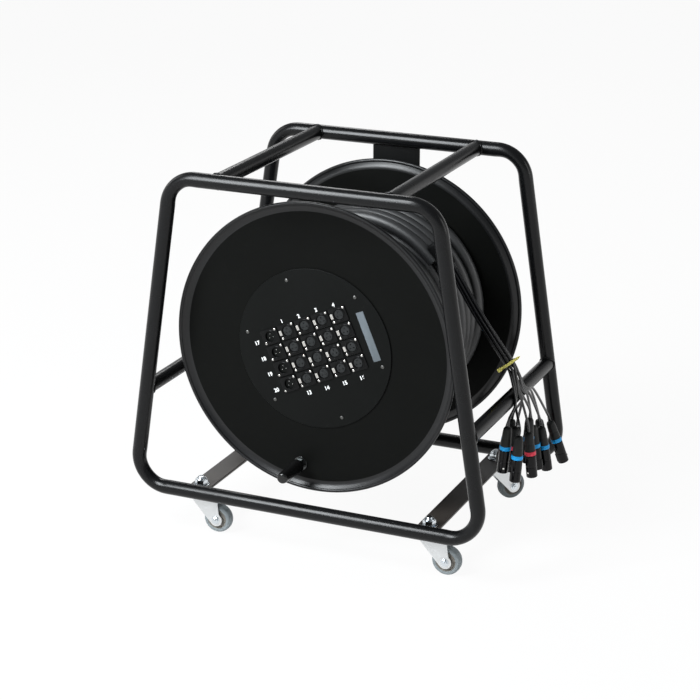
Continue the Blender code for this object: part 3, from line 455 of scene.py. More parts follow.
def eased(profile, size, ring):
    """The same profile with its corners rounded off."""
    points = [Vector(point) for point in profile]
    count = len(points)
    result = []
    for index, point in enumerate(points):
        if not ring and index in (0, count - 1):
            result.append(tuple(point))
            continue
        before = points[index - 1] - point
        after = points[(index + 1) % count] - point
        cut = min(size, before.length * 0.45, after.length * 0.45)
        start = point + before.normalized() * cut
        end = point + after.normalized() * cut
        for step in range(EASE_STEPS + 1):
            t = step / EASE_STEPS
            result.append(tuple(start.lerp(point, t).lerp(point.lerp(end, t), t)))
    return result


def turned_mesh(profile, sides, ease=0.0, ring=False):
    """A profile of (radius, height) points turned about the Z axis, its corners rounded by ease.

    A ring is a profile that closes on itself, clear of the axis.
    """
    if ease:
        profile = eased(profile, ease, ring)
    return skinned([[(radius * math.cos(a), radius * math.sin(a), height) for a in round_angles(sides)]
                    if radius > 1e-6 else [(0.0, 0.0, height)] for radius, height in profile], ring)


def cylinder(radius, start, end, sides, ease=0.0):
    """A round solid about the Z axis between two heights."""
    return turned_mesh([(0, start), (radius, start), (radius, end), (0, end)], sides, ease)


def moved(x, y, z):
    return Matrix.Translation((x, y, z))


def spun(degrees, axis='Z'):
    return Matrix.Rotation(math.radians(degrees), 4, axis)


def along_y(x, y, z):
    """A placement whose own Z axis points to the front, along -Y."""
    return moved(x, y, z) @ spun(90, 'X')


def placed(mesh, place):
    mesh.transform(place)
    return mesh


def joined(meshes):
    """One mesh of several, their materials kept."""
    work = bmesh.new()
    materials = []
    for mesh in meshes:
        first = len(work.faces)
        work.from_mesh(mesh)
        work.faces.ensure_lookup_table()
        for m in mesh.materials:
            if m not in materials:
                materials.append(m)
        slots = [materials.index(m) for m in mesh.materials]
        for face in work.faces[first:]:
            face.material_index = slots[face.material_index] if slots else 0
    result = bpy.data.meshes.new("joined")
    work.to_mesh(result)
    work.free()
    for material in materials:
        result.materials.append(material)
    return result


def evaluated(holder):
    """The plain mesh an object's modifiers make, and the object gone."""
    bpy.context.view_layer.update()
    mesh = bpy.data.meshes.new_from_object(holder.evaluated_get(bpy.context.evaluated_depsgraph_get()))
    bpy.data.objects.remove(holder)
    return mesh


def cut_mesh(mesh, cutter, operation='DIFFERENCE'):
    """One mesh cut by, or met with, another."""
    body = in_scene("body", mesh)
    tool = in_scene("tool", cutter)
    boolean = body.modifiers.new("cut", 'BOOLEAN')
    boolean.operation = operation
    boolean.solver = 'EXACT'
    boolean.object = tool
    result = evaluated(body)
    bpy.data.objects.remove(tool)
    return result


def nut_mesh(across, height, chamfer=0.0008):
    """A hexagon nut about the Z axis, its corners turned off at both faces."""
    half = height / 2
    radius = across / 2 / math.cos(math.pi / 6)
    solid = cylinder(radius, half, -half, 6)
    turning = turned_mesh([(0, half), (across / 2, half), (radius + 0.0003, half - chamfer),
                           (radius + 0.0003, chamfer - half), (across / 2, -half), (0, -half)], 48)
    return cut_mesh(solid, turning, 'INTERSECT')


DRUM = along_y(0, 0, DRUM_Z)
steel = finish("turned_steel", (0.42, 0.42, 0.41), 0.30, metallic=1.0, grain=(600.0, 0.05))
axle_profile = [(0.0, 0.0456), (0.0117, 0.0456), (0.0117, 0.0516), (0.022, 0.0516), (0.022, 0.0596),
                (0.015, 0.0596), (0.015, 0.1844), (0.040, 0.1844), (0.040, 0.1924), (0.0117, 0.1924),
                (0.0117, 0.2205), (0.0, 0.2205)]
axle = turned_mesh([(radius, -y) for radius, y in axle_profile], 72, 0.0009)
axle_nut = placed(nut_mesh(0.036, 0.014, 0.0016), moved(0, 0, -0.2060))
piece_of("stub_axle", placed(joined([axle, axle_nut]), DRUM), steel, "frame", ["drum_axle"])
hub_profile = [(0.0154, 0.060), (0.030, 0.060), (0.030, 0.1578), (0.055, 0.1578), (0.055, 0.1638),
               (0.030, 0.1638), (0.030, 0.172), (0.0154, 0.172)]
hub = turned_mesh([(radius, -y) for radius, y in hub_profile], 72, 0.0009, ring=True)
piece_of("bearing_hub", placed(hub, DRUM), steel, "drum", ["drum_hub"])


# Castors
# Four light swivel castors with zinc plated forks, each pressed from one sheet. Each hangs on
# a bolt through its bar under a washer and a lock nut, and rolls on a grey rubber wheel.

CASTOR_Y = 0.158
CASTOR_TURNS = {"rear_right": 50}
NUT_TURNS = {"front": 17, "rear": 40}
WHEEL_TRAIL = 0.0325
WHEEL_AXLE_Z = 0.02501
FORK_HALF_WIDTH = 0.0130
FORK_SHEET = 0.0022
FORK_TOP_Z = 0.0646
FORK_BRIDGE = 0.0045
FORK_END_RADIUS = 0.0115
FORK_FRONT_X = -0.0125
FORK_BEND = 0.0034

zinc = finish("zinc_plate", (0.74, 0.755, 0.76), 0.36, metallic=0.80, grain=(450.0, 0.10), cloud=0.10,
              tint=0.06, scuffs=(60.0, 0.25), scuff_colour=(0.50, 0.50, 0.48))
tyre_rubber = finish("tyre_rubber", (0.245, 0.275, 0.285), 0.60, specular=0.4, grain=(700.0, 0.30),
                     tint=0.2)
bright_zinc = finish("bright_zinc", (0.70, 0.745, 0.78), 0.17, metallic=1.0, grain=(450.0, 0.05),
                     cloud=0.05, tint=0.06)
wheel_core = finish("wheel_core", (0.215, 0.200, 0.175), 0.55, specular=0.4, grain=(700.0, 0.15))
nylon = finish("nylon_insert", (0.42, 0.50, 0.54), 0.5, specular=0.4)
THREAD = [(0.0060 - (0.0006 if k % 2 else 0.0), 0.0948 - 0.0005 * k) for k in range(5)]
STEM_PROFILE = [(0.0, 0.0961), (0.0050, 0.0961)] + THREAD + [
    (0.0060, 0.0821), (0.0140, 0.0821), (0.0140, 0.0803), (0.0060, 0.0803), (0.0060, 0.0752),
    (0.0145, 0.0752), (0.0145, 0.0722), (0.0060, 0.0722), (0.0060, 0.0581), (0.0, 0.0581)]
COLLAR_PROFILE = [(0.0064, 0.0931), (0.0078, 0.0931), (0.0088, 0.0921), (0.0088, 0.0900), (0.0064, 0.0900)]
INSERT_PROFILE = [(0.0058, 0.0927), (0.0066, 0.0927), (0.0066, 0.0905), (0.0058, 0.0905)]
CROWN_PROFILE = [(0.0062, 0.0718), (0.0130, 0.0718), (0.0160, 0.0690), (0.0160, 0.0656), (0.0132, 0.0642),
                 (0.0062, 0.0642)]
TYRE_HALF = [(0.0173, 0.0084), (0.0185, 0.0090), (0.0216, 0.0088), (0.0236, 0.0074), (0.0247, 0.0046),
             (0.0250, 0.0)]
CORE_HALF = [(0.0034, 0.0098), (0.0066, 0.0098), (0.0072, 0.0070), (0.0152, 0.0066), (0.0160, 0.0086),
             (0.0173, 0.0088)]


def both_halves(half):
    """A profile and its mirror image below z = 0."""
    return half + [(radius, -z) for radius, z in reversed(half) if z]


def bevelled(mesh, width, segments, angle):
    """The same mesh with its sharp edges rounded."""
    holder = in_scene("holder", mesh)
    bevel = holder.modifiers.new("ease", 'BEVEL')
    bevel.width = width
    bevel.segments = segments
    bevel.limit_method = 'ANGLE'
    bevel.angle_limit = math.radians(angle)
    return evaluated(holder)


def prism_mesh(outline, near, far, through_x):
    """A flat outline stretched into a solid, along X or along Y."""
    return skinned([[(reach, a, b) if through_x else (a, reach, b) for a, b in outline]
                    for reach in (near, far)], capped=True)


def arc(x, y, radius, start, end, steps):
    """Points on an arc between two angles in degrees."""
    angles = [math.radians(start + (end - start) * step / steps) for step in range(steps + 1)]
    return [(x + radius * math.cos(a), y + radius * math.sin(a)) for a in angles]


def fork_mesh():
    """A castor fork about its swivel axis: a bent channel trimmed to its side plates' outline."""
    inner = FORK_HALF_WIDTH - FORK_SHEET
    floor_z = FORK_TOP_Z - FORK_BRIDGE
    section = [(FORK_HALF_WIDTH, 0.0)]
    section += arc(FORK_HALF_WIDTH - FORK_BEND, FORK_TOP_Z - FORK_BEND, FORK_BEND, 0, 90, 6)
    section += arc(FORK_BEND - FORK_HALF_WIDTH, FORK_TOP_Z - FORK_BEND, FORK_BEND, 90, 180, 6)
    section += [(-FORK_HALF_WIDTH, 0.0), (-inner, 0.0), (-inner, floor_z - 0.001), (0.001 - inner, floor_z),
                (inner - 0.001, floor_z), (inner, floor_z - 0.001), (inner, 0.0)]
    outline = [(FORK_FRONT_X, FORK_TOP_Z + 0.002), (WHEEL_TRAIL + 0.0018, FORK_TOP_Z + 0.002),
               (WHEEL_TRAIL + 0.0062, WHEEL_AXLE_Z + 0.0100)]
    outline += arc(WHEEL_TRAIL, WHEEL_AXLE_Z, FORK_END_RADIUS, 42, -140, 22)
    outline += [(WHEEL_TRAIL - 0.024, WHEEL_AXLE_Z + 0.0093), (FORK_FRONT_X, floor_z - 0.002)]
    sheet = cut_mesh(prism_mesh(section, -0.03, 0.06, True), prism_mesh(outline, -0.03, 0.03, False),
                     'INTERSECT')
    parts = [coloured(bevelled(sheet, width=0.00045, segments=2, angle=40), zinc),
             coloured(turned_mesh(CROWN_PROFILE, 48, 0.0009, ring=True), zinc)]
    for sign in (-1, 1):
        washer = cylinder(0.0072, 0.0, 0.0009, 32, 0.0003)
        head = placed(nut_mesh(0.0100, 0.0034, 0.0009), moved(0, 0, 0.0024))
        tip = cylinder(0.0028, 0.0, 0.0052, 20, 0.0006)
        bolt = coloured(joined([washer, head, tip]), bright_zinc)
        place = moved(WHEEL_TRAIL, sign * FORK_HALF_WIDTH, WHEEL_AXLE_Z)
        parts.append(placed(bolt, place @ spun(-sign * 90, 'X')))
    return joined(parts)


fork_pattern = fork_mesh()
for end, y in (("front", -CASTOR_Y), ("rear", CASTOR_Y)):
    for side, x in (("left", -BAR_X), ("right", BAR_X)):
        tag = f"{end}_{side}"
        place = moved(x, y, 0.0)
        stem = coloured(turned_mesh(STEM_PROFILE, 40, 0.0003), bright_zinc)
        nut = coloured(placed(nut_mesh(0.019, 0.0086, 0.0013), moved(0, 0, 0.0864)), bright_zinc)
        collar = coloured(turned_mesh(COLLAR_PROFILE, 40, 0.0004, ring=True), bright_zinc)
        insert = coloured(turned_mesh(INSERT_PROFILE, 40, ring=True), nylon)
        bolt = placed(joined([stem, nut, collar, insert]), place @ spun(NUT_TURNS[end]))
        piece_of(f"castor_bolt_{tag}", bolt, None, "frame", [f"castor_stem_{tag}"])
        place = place @ spun(CASTOR_TURNS.get(tag, 0.0))
        piece_of(f"castor_fork_sheet_{tag}", placed(fork_pattern.copy(), place), None, f"swivel_{tag}",
                 [f"castor_fork_{tag}"])
        tyre = coloured(turned_mesh(both_halves(TYRE_HALF), 72, 0.0007, ring=True), tyre_rubber)
        core = coloured(turned_mesh(both_halves(CORE_HALF), 72, 0.0005, ring=True), wheel_core)
        wheel = placed(joined([tyre, core]), place @ along_y(WHEEL_TRAIL, 0.0, WHEEL_AXLE_Z))
        piece_of(f"castor_roller_{tag}", wheel, None, f"wheel_{tag}", [f"castor_wheel_{tag}"])


# Drum shell
# Two flanges of black coated sheet steel, flared outward at the rim with a rolled edge, and
# a rolled sheet barrel between them. The front one's middle is cut out for the panel.

FLANGE_RADIUS = 0.249
FLANGE_THICKNESS = 0.002
RIM_FOLD = ((0.2315, 0.0), (0.2335, 0.0001), (0.2355, 0.0005), (0.2375, 0.0012), (0.2395, 0.0023),
            (0.2415, 0.0037), (0.2430, 0.0048))
ROLL_RADIUS = 0.0032
ROLL_DEPTH = 0.0060
PANEL_HOLE_RADIUS = 0.112
HUB_HOLE_RADIUS = 0.0303
BARREL_OUTER_RADIUS = 0.124
BARREL_INNER_RADIUS = 0.122
BARREL_GAP = 0.0003
FLANGE_FRONT_Y = -0.1457
FLANGE_REAR_Y = 0.1575


def flange_mesh(hole_radius, face, flare):
    """A sheet disc whose rim bends to the side that flare names, 1 or -1, and ends in a roll."""
    half = FLANGE_THICKNESS / 2
    middle = face - half
    fold = ((hole_radius, 0.0),) + RIM_FOLD
    profile = [(radius, depth + half) for radius, depth in fold]
    profile += arc(FLANGE_RADIUS - ROLL_RADIUS, ROLL_DEPTH, ROLL_RADIUS, 155, -100, 12)
    profile += [(radius, depth - half) for radius, depth in reversed(fold)]
    return turned_mesh([(radius, middle + flare * depth) for radius, depth in profile], 192, ring=True)


def rim_faces_marked(mesh):
    """The flared rim's faces take the second material."""
    for face in mesh.polygons:
        if math.hypot(face.center.x, face.center.y) > RIM_FOLD[0][0]:
            face.material_index = 1
    return mesh


drum_coat = finish("drum_coat", (0.0040, 0.0043, 0.0039), 0.42, specular=0.055, grain=(1100.0, 0.08),
                   cloud=0.06, scuffs=(45.0, 0.10), scuff_colour=(0.02, 0.02, 0.019))
rim_coat = finish("rim_coat", (0.0042, 0.0045, 0.0050), 0.33, specular=0.40, grain=(1100.0, 0.02),
                  cloud=0.04, scuffs=(70.0, 0.35), scuff_colour=(0.03, 0.03, 0.029))
for name, hole, face, flare, node in (
        ("front_disc", PANEL_HOLE_RADIUS, -FLANGE_FRONT_Y, 1, "front_flange"),
        ("rear_disc", HUB_HOLE_RADIUS, FLANGE_THICKNESS - FLANGE_REAR_Y, -1, "rear_flange")):
    disc = rim_faces_marked(coloured(flange_mesh(hole, face, flare), drum_coat))
    disc.materials.append(rim_coat)
    piece_of(name, placed(disc, DRUM), None, "drum", [node])
front = -(FLANGE_FRONT_Y + FLANGE_THICKNESS + BARREL_GAP)
rear = -(FLANGE_REAR_Y - FLANGE_THICKNESS - BARREL_GAP)
barrel = turned_mesh([(BARREL_OUTER_RADIUS, front), (BARREL_OUTER_RADIUS, rear),
                      (BARREL_INNER_RADIUS, rear), (BARREL_INNER_RADIUS, front)], 96, ring=True)
piece_of("barrel_sheet", placed(barrel, DRUM), drum_coat, "drum", ["drum_barrel"])


# Connector panel
# A round steel plate screwed to the front flange. It holds a block of chassis connectors
# set at a slant: four with pins at the left, sixteen with sockets and a latch beside them.

DRUM_TURN = math.radians(23.7)
PANEL_FRONT_Y = -0.1480
SOCKET_FRONT_Y = -0.1503
COLUMN_PITCH = 0.0335
ROW_PITCH = 0.0283
LATCH_WIDTH = 0.0046
LATCH_HEIGHT = 0.0084
LATCH_DEPTH = 0.0032
LATCH_STANDS_OUT = 0.0016
LATCH_SHIFT = -0.0122
LATCH_GAP = 0.0002
SOCKET_WIDTH = 0.031
SOCKET_HEIGHT = 0.026
SOCKET_DEPTH = PANEL_FRONT_Y - SOCKET_FRONT_Y
SOCKET_CORNER = 0.003
MOUTH_RADIUS = 0.0094
MOUTH_DEPTH = 0.002
CUP_RADIUS = 0.0088
SOCKET_SHIFT = 0.001
PLATE_RADIUS = 0.1365
PLATE_THICKNESS = 0.0020
PANEL = moved(0, PANEL_FRONT_Y, DRUM_Z) @ Matrix.Rotation(-DRUM_TURN, 4, 'Y') @ spun(90, 'X')
CONTACT_CIRCLE = 0.0042
CUTTER_TOP = 0.02
CONTACTS = [moved(x, y, 0) for x, y in arc(0.0, 0.0, CONTACT_CIRCLE, 90, 330, 2)]


def slab_mesh(width, height, depth, corner, ease=0.0004):
    """A flat block with rounded corners, its back on z = 0 and its front edge eased."""
    rings = []
    for z, inset in ((0.0, 0.0), (depth - ease, 0.0), (depth - ease * 0.3, ease * 0.3), (depth, ease)):
        ring = []
        for cx, cy, start in ((1, 1, 0), (-1, 1, 90), (-1, -1, 180), (1, -1, 270)):
            ring += arc(cx * (width / 2 - corner), cy * (height / 2 - corner), corner - inset,
                        start, start + 90, 4)
        rings.append([(x, y, z) for x, y in ring])
    return skinned(rings, capped=True)


def shape_tree(name, inputs):
    """A Geometry Nodes tree with its own inputs between the usual geometry sockets."""
    shape = (("Geometry", GEOMETRY),)
    return group_of(name, 'GeometryNodeTree', shape + inputs, shape)


def set_on_points(tree, points, given):
    """A node that sets the pattern on each of a node's points."""
    source = node_of(tree, 'GeometryNodeObjectInfo')
    spread = node_of(tree, 'GeometryNodeInstanceOnPoints')
    wired(tree, (given, "Pattern", source, "Object"), (points, "Geometry", spread, "Points"),
          (source, "Geometry", spread, "Instance"))
    return spread


def end_tree(tree, shape, result, given=None, material=None):
    """The end of a tree: instances are made real and, where one is given, take their material."""
    last = node_of(tree, 'GeometryNodeRealizeInstances')
    wired(tree, (shape, 0, last, "Geometry"))
    if material:
        paint = node_of(tree, 'GeometryNodeSetMaterial')
        wired(tree, (last, "Geometry", paint, "Geometry"), (given, material, paint, "Material"))
        last = paint
    wired(tree, (last, "Geometry", result, "Geometry"))


def block_tree():
    """Geometry Nodes that set one pattern in rows and columns."""
    tree, given, result = shape_tree("connector_block", (
        ("Columns", INTEGER), ("Rows", INTEGER), ("Column Pitch", FLOAT), ("Row Pitch", FLOAT),
        ("Middle", VECTOR), ("Pattern", OBJECT)))
    grid = node_of(tree, 'GeometryNodeMeshGrid')
    for count, pitch, axis in (("Columns", "Column Pitch", "X"), ("Rows", "Row Pitch", "Y")):
        gaps = node_of(tree, 'ShaderNodeMath', {1: 1.0}, operation='SUBTRACT')
        span = node_of(tree, 'ShaderNodeMath', operation='MULTIPLY')
        wired(tree, (given, count, gaps, 0), (gaps, 0, span, 0), (given, pitch, span, 1),
              (span, 0, grid, f"Size {axis}"), (given, count, grid, f"Vertices {axis}"))
    shift = node_of(tree, 'GeometryNodeTransform')
    wired(tree, (grid, "Mesh", shift, "Geometry"), (given, "Middle", shift, "Translation"))
    end_tree(tree, set_on_points(tree, shift, given), result)
    return tree


def grown(tree, values, base=None, pattern=None):
    """The plain mesh that a Geometry Nodes tree makes with its values and perhaps a pattern's mesh."""
    if pattern:
        hidden = in_scene("pattern", pattern)
        hidden.hide_render = True
        values = {**values, "Pattern": hidden}
    holder = in_scene("holder", base or bpy.data.meshes.new("seed"))
    modifier = holder.modifiers.new("grow", 'NODES')
    modifier.node_group = tree
    for item in tree.interface.items_tree:
        if item.in_out == 'INPUT' and item.name in values:
            modifier[item.identifier] = values[item.name]
    mesh = evaluated(holder)
    if pattern:
        bpy.data.objects.remove(hidden)
    return mesh


def seat(column, row):
    """A connector's middle on the panel, its column counted from the left and its row from the top."""
    return (column - 2) * COLUMN_PITCH, (1.5 - row) * ROW_PITCH


connector_black = finish("connector_black", (0.0034, 0.0037, 0.0038), 0.24, specular=0.15,
                         grain=(700.0, 0.06))
insert_grey = finish("insert_grey", (0.0190, 0.0205, 0.0210), 0.45, specular=0.20)
nickel = finish("nickel_plate", (0.74, 0.73, 0.70), 0.22, metallic=1.0, grain=(500.0, 0.05))
pin_silver = finish("pin_silver", (0.86, 0.86, 0.84), 0.45, metallic=0.6, grain=(500.0, 0.05))
plate_coat = finish("plate_coat", (0.0046, 0.0051, 0.0048), 0.38, specular=0.08, grain=(1300.0, 0.08),
                    scuffs=(60.0, 0.2), scuff_colour=(0.03, 0.03, 0.03))

plate = cylinder(PLATE_RADIUS, 0, -PLATE_THICKNESS, 160, 0.0007)
slot = slab_mesh(LATCH_WIDTH + 2 * LATCH_GAP, LATCH_HEIGHT + 2 * LATCH_GAP, 0.024, 0.0006, 0.00005)
slot.transform(moved(LATCH_SHIFT, 0, -0.006))
slots = joined([placed(slot.copy(), moved(*seat(column, row), 0))
                for row in reversed(range(4)) for column in range(1, 5)])
piece_of("panel_plate", placed(cut_mesh(plate, slots), PANEL), plate_coat, "drum", ["connector_panel"])

depth = SOCKET_DEPTH
block = slab_mesh(SOCKET_WIDTH, SOCKET_HEIGHT, depth, SOCKET_CORNER)
mouth = cylinder(MOUTH_RADIUS, CUTTER_TOP, depth - MOUTH_DEPTH, 40)
flange = cut_mesh(cut_mesh(block.copy(), mouth), slot.copy())
ring_profile = [(0.0078, depth - MOUTH_DEPTH), (MOUTH_RADIUS, depth - MOUTH_DEPTH),
                (MOUTH_RADIUS, depth + 0.0008),
                (0.0106, depth + 0.0008), (0.0116, depth - 0.0002), (0.0116, 0.001), (0.0078, 0.001)]
raised = placed(turned_mesh(ring_profile, 40, 0.0003, ring=True), moved(SOCKET_SHIFT, 0, 0))
raised = cut_mesh(raised, slot.copy())
insert = turned_mesh([(0, depth + 0.0002), (0.0076, depth + 0.0002), (0.0078, 0.0), (0, 0.0)], 40, 0.0003)
for contact in CONTACTS:
    hole = cylinder(0.0013, CUTTER_TOP, 0.0006, 12)
    insert = cut_mesh(insert, placed(hole, contact))
insert = placed(coloured(insert, insert_grey), moved(SOCKET_SHIFT, 0, 0))
female = joined([coloured(flange, connector_black), coloured(raised, connector_black), insert])
females = grown(block_tree(), {"Columns": 4, "Rows": 4, "Column Pitch": COLUMN_PITCH,
                               "Row Pitch": ROW_PITCH, "Middle": (COLUMN_PITCH / 2, 0.0, 0.0)},
                pattern=female)
piece_of("female_sockets", placed(females, PANEL), None, "drum")

cup = cut_mesh(block, cylinder(CUP_RADIUS, CUTTER_TOP, -0.010, 40))
lip = turned_mesh([(CUP_RADIUS, depth + 0.0006), (0.0102, depth + 0.0006), (0.0110, depth - 0.0002),
                   (0.0113, 0.0), (0.0113, -0.012), (CUP_RADIUS, -0.012)], 40, 0.0003, ring=True)
back = cylinder(0.0090, -0.0102, -0.0112, 40)
parts = [coloured(shape, connector_black) for shape in (cup, lip, back)]
for contact in CONTACTS:
    pin = turned_mesh([(0, -0.0002), (0.0006, -0.0003), (0.0012, -0.0011), (0.0012, -0.0105),
                       (0, -0.0105)], 16, 0.0003)
    parts.append(coloured(placed(pin, contact), pin_silver))
male = joined(parts)
for number in range(4):
    spot = moved(*seat(0, number), 0.0003)
    piece_of(f"pin_socket_{number + 1}", placed(male.copy(), PANEL @ spot), None, "drum",
             [f"male_socket_{number + 1}"])


# Panel fasteners and latches
# Two bright cross-head screws hold each connector, six darker ones hold the plate, and a
# ribbed metal tab beside each socket lets its plug go when it is pressed in.

SCREW_CIRCLE = 0.122
FIRST_SCREW = 53.7
SCREW_ACROSS = 0.0122
SCREW_UP = 0.0097


def screw_mesh(radius, height):
    """A low round head with a cross cut in it."""
    head = turned_mesh([(0, height), (radius * 0.55, height * 0.92), (radius * 0.9, height * 0.5),
                        (radius, 0.0), (0, 0.0)], 20)
    for turn in (0, 90):
        blade = slab_mesh(radius * 1.1, radius * 0.28, height, radius * 0.1, 0.0001)
        head = cut_mesh(head, placed(blade, spun(turn) @ moved(0, 0, height * 0.45)))
    return head


def screw_tree():
    """Geometry Nodes that set a screw at each point, each turned by chance."""
    tree, given, result = shape_tree("screws", (
        ("Pattern", OBJECT), ("Turn", FLOAT), ("Seed", INTEGER), ("Finish", MATERIAL)))
    chance = node_of(tree, 'FunctionNodeRandomValue')
    turn = node_of(tree, 'ShaderNodeCombineXYZ')
    spread = set_on_points(tree, given, given)
    wired(tree, (given, "Turn", chance, 3), (given, "Seed", chance, "Seed"), (chance, 1, turn, "Z"),
          (turn, 0, spread, "Rotation"))
    end_tree(tree, spread, result, given, "Finish")
    return tree


SCREWS = screw_tree()
screw_dark = finish("blackened_screw", (0.16, 0.16, 0.155), 0.35, metallic=0.9)


def set_screws(name, points, radius, height, material, seed):
    """Screws at points of the panel, as one piece."""
    spots = bpy.data.meshes.new("spots")
    spots.from_pydata(points, [], [])
    mesh = grown(SCREWS, {"Turn": math.pi, "Seed": seed, "Finish": material}, spots,
                 screw_mesh(radius, height))
    piece_of(name, placed(mesh, PANEL), None, "drum")


spots = []
for column in range(5):
    for row in range(4):
        u, v = seat(column, row)
        spots += [(u + sign * SCREW_ACROSS, v + sign * SCREW_UP, depth + 0.0001) for sign in (-1, 1)]
set_screws("connector_screws", spots, 0.0021, 0.0011, nickel, 4)
angles = [math.radians(FIRST_SCREW + 60 * k) - DRUM_TURN for k in range(6)]
set_screws("plate_screws", [(SCREW_CIRCLE * math.cos(a), SCREW_CIRCLE * math.sin(a), 0.0) for a in angles],
           0.0030, 0.0014, screw_dark, 9)

groove = placed(slab_mesh(0.0011, 0.0060, 0.002, 0.0003, 0.00005), moved(0, 0, 0.0021))
tab = cut_mesh(slab_mesh(LATCH_WIDTH, LATCH_HEIGHT, LATCH_DEPTH, 0.0006), groove)
seats = [seat(column, row) for row in range(4) for column in range(1, 5)]
for number, (u, v) in enumerate(seats, 1):
    spot = moved(u + LATCH_SHIFT, v, depth + LATCH_STANDS_OUT - LATCH_DEPTH)
    piece_of(f"latch_button_{number}", placed(tab.copy(), PANEL @ spot), nickel, f"latch_{number}",
             [f"latch_tab_{number}"])


# Panel printing
# Plain numbers in white beside the outer connectors, and a blank write-on strip of pale
# grey film at the right. Everything else on the panel is left bare.

white_print = finish("white_print", (0.90, 0.91, 0.90), 0.5, specular=0.3, grain=(500.0, 0.05), tint=0.06)
strip_film = finish("strip_film", (0.115, 0.135, 0.150), 0.45, specular=0.3, grain=(300.0, 0.05), tint=0.18)
NUMBERS = (("1", -58.3, 40.1), ("2", -27.7, 53.0), ("3", 3.4, 67.6), ("4", 34.3, 80.3),
           ("13", -9.4, -77.1), ("14", 22.9, -64.2), ("15", 54.9, -50.6), ("16", 85.7, -37.2),
           ("17", -103.6, -4.1), ("18", -92.2, -30.2), ("19", -80.9, -55.4), ("20", -69.1, -81.6))
NUMBER_HEIGHT = 0.0066
STRIP_CORNERS = ((74.7, 68.4), (85.4, 80.1), (117.9, -0.2), (107.2, -8.7))


def number_mesh(text, spot):
    """A printed number, raised by a film's thickness."""
    data = bpy.data.curves.new("number", 'FONT')
    data.body = text
    data.size = NUMBER_HEIGHT * 1.4
    data.align_x = 'CENTER'
    data.align_y = 'CENTER'
    data.extrude = 0.00004
    data.offset = 0.00030
    return placed(evaluated(in_scene("number", data)), moved(spot.x, spot.y, 0.00006))


def on_plate(x, z):
    """A place seen upright on the drum's face, in millimetres, in the turned panel's rows and columns."""
    return Matrix.Rotation(-DRUM_TURN, 2) @ Vector((x / 1000, z / 1000))


labels = [number_mesh(text, on_plate(x, z)) for text, x, z in NUMBERS]
piece_of("panel_numbers", placed(joined(labels), PANEL), white_print, "drum", sharp=60)
corners = [on_plate(x, z) for x, z in STRIP_CORNERS]
middle = sum(corners, Vector((0, 0))) / 4
long_way = (corners[2] + corners[3] - corners[0] - corners[1]) / 2
strip = slab_mesh(long_way.length, 0.0135, 0.0003, 0.001, 0.0001)
slant = math.atan2(long_way.y, long_way.x)
strip.transform(moved(middle.x, middle.y, 0.0) @ Matrix.Rotation(slant, 4, 'Z'))
piece_of("write_on_strip", placed(strip, PANEL), strip_film, "drum")


# Winding handle
# A black zinc plated stud with a washer and nut on the front flange, and a black plastic
# grip that turns on it.

HANDLE_REACH = 0.208
HANDLE_ANGLE = math.radians(-97.5)
HANDLE = along_y(HANDLE_REACH * math.cos(HANDLE_ANGLE), 0, DRUM_Z + HANDLE_REACH * math.sin(HANDLE_ANGLE))
grip_black = finish("grip_black", (0.0050, 0.0050, 0.0050), 0.24, specular=0.45, grain=(600.0, 0.05))
black_zinc = finish("black_zinc", (0.085, 0.090, 0.090), 0.24, metallic=1.0, grain=(450.0, 0.10), cloud=0.1)
stud_profile = [(0.0, 0.2151), (0.005, 0.2151), (0.005, 0.1478), (0.012, 0.1478), (0.012, 0.1460),
                (0.0, 0.1460)]
stud = turned_mesh(stud_profile, 40, 0.0004)
nut = placed(nut_mesh(0.017, 0.008), moved(0, 0, 0.1518))
piece_of("handle_bolt", placed(joined([stud, nut]), HANDLE), black_zinc, "drum", ["handle_stud"])
grip_profile = [(0.0, 0.2205), (0.0062, 0.2205), (0.0085, 0.2192), (0.0094, 0.2165), (0.0097, 0.2050),
                (0.0102, 0.1900), (0.0112, 0.1750), (0.0124, 0.1640), (0.0122, 0.1600), (0.0108, 0.1585),
                (0.0054, 0.1585), (0.0054, 0.2155), (0.0, 0.2155)]
piece_of("handle_knob", placed(turned_mesh(grip_profile, 56, 0.0008), HANDLE), grip_black, "grip",
         ["handle_grip"])


# Cable on the drum
# Some 14 m of thick multicore with a satin black sheath: an even layer to the rear and a
# part of a second one back. Deeper turns show in the gaps between those.

CABLE_RADIUS = 0.0105
UPPER_LAYER_RADIUS = 0.1775
LAYER_STEP = 0.0218
LOWER_TURNS = 10
UPPER_STEPS = (0.042, 0.022, 0.022, 0.022)
CLIMB_TURNS = 0.5
CABLE_END_ANGLE = math.radians(47)
FLANGE_GAP = 0.0008
CABLE_FRONT_Y = FLANGE_FRONT_Y + FLANGE_THICKNESS + CABLE_RADIUS + FLANGE_GAP
CABLE_REAR_Y = FLANGE_REAR_Y - FLANGE_THICKNESS - CABLE_RADIUS - FLANGE_GAP
TOTAL_TURNS = LOWER_TURNS + CLIMB_TURNS + len(UPPER_STEPS)
LAID_STEPS = 72
BURIED_STEPS = 60
BURIED_STEP = 0.0160


def cable_point(radius, turn, y):
    """The cable's centre at a radius and a depth, a number of turns after its inner end."""
    angle = CABLE_END_ANGLE + 2 * math.pi * (TOTAL_TURNS - turn)
    return Vector((radius * math.cos(angle), y, DRUM_Z + radius * math.sin(angle)))


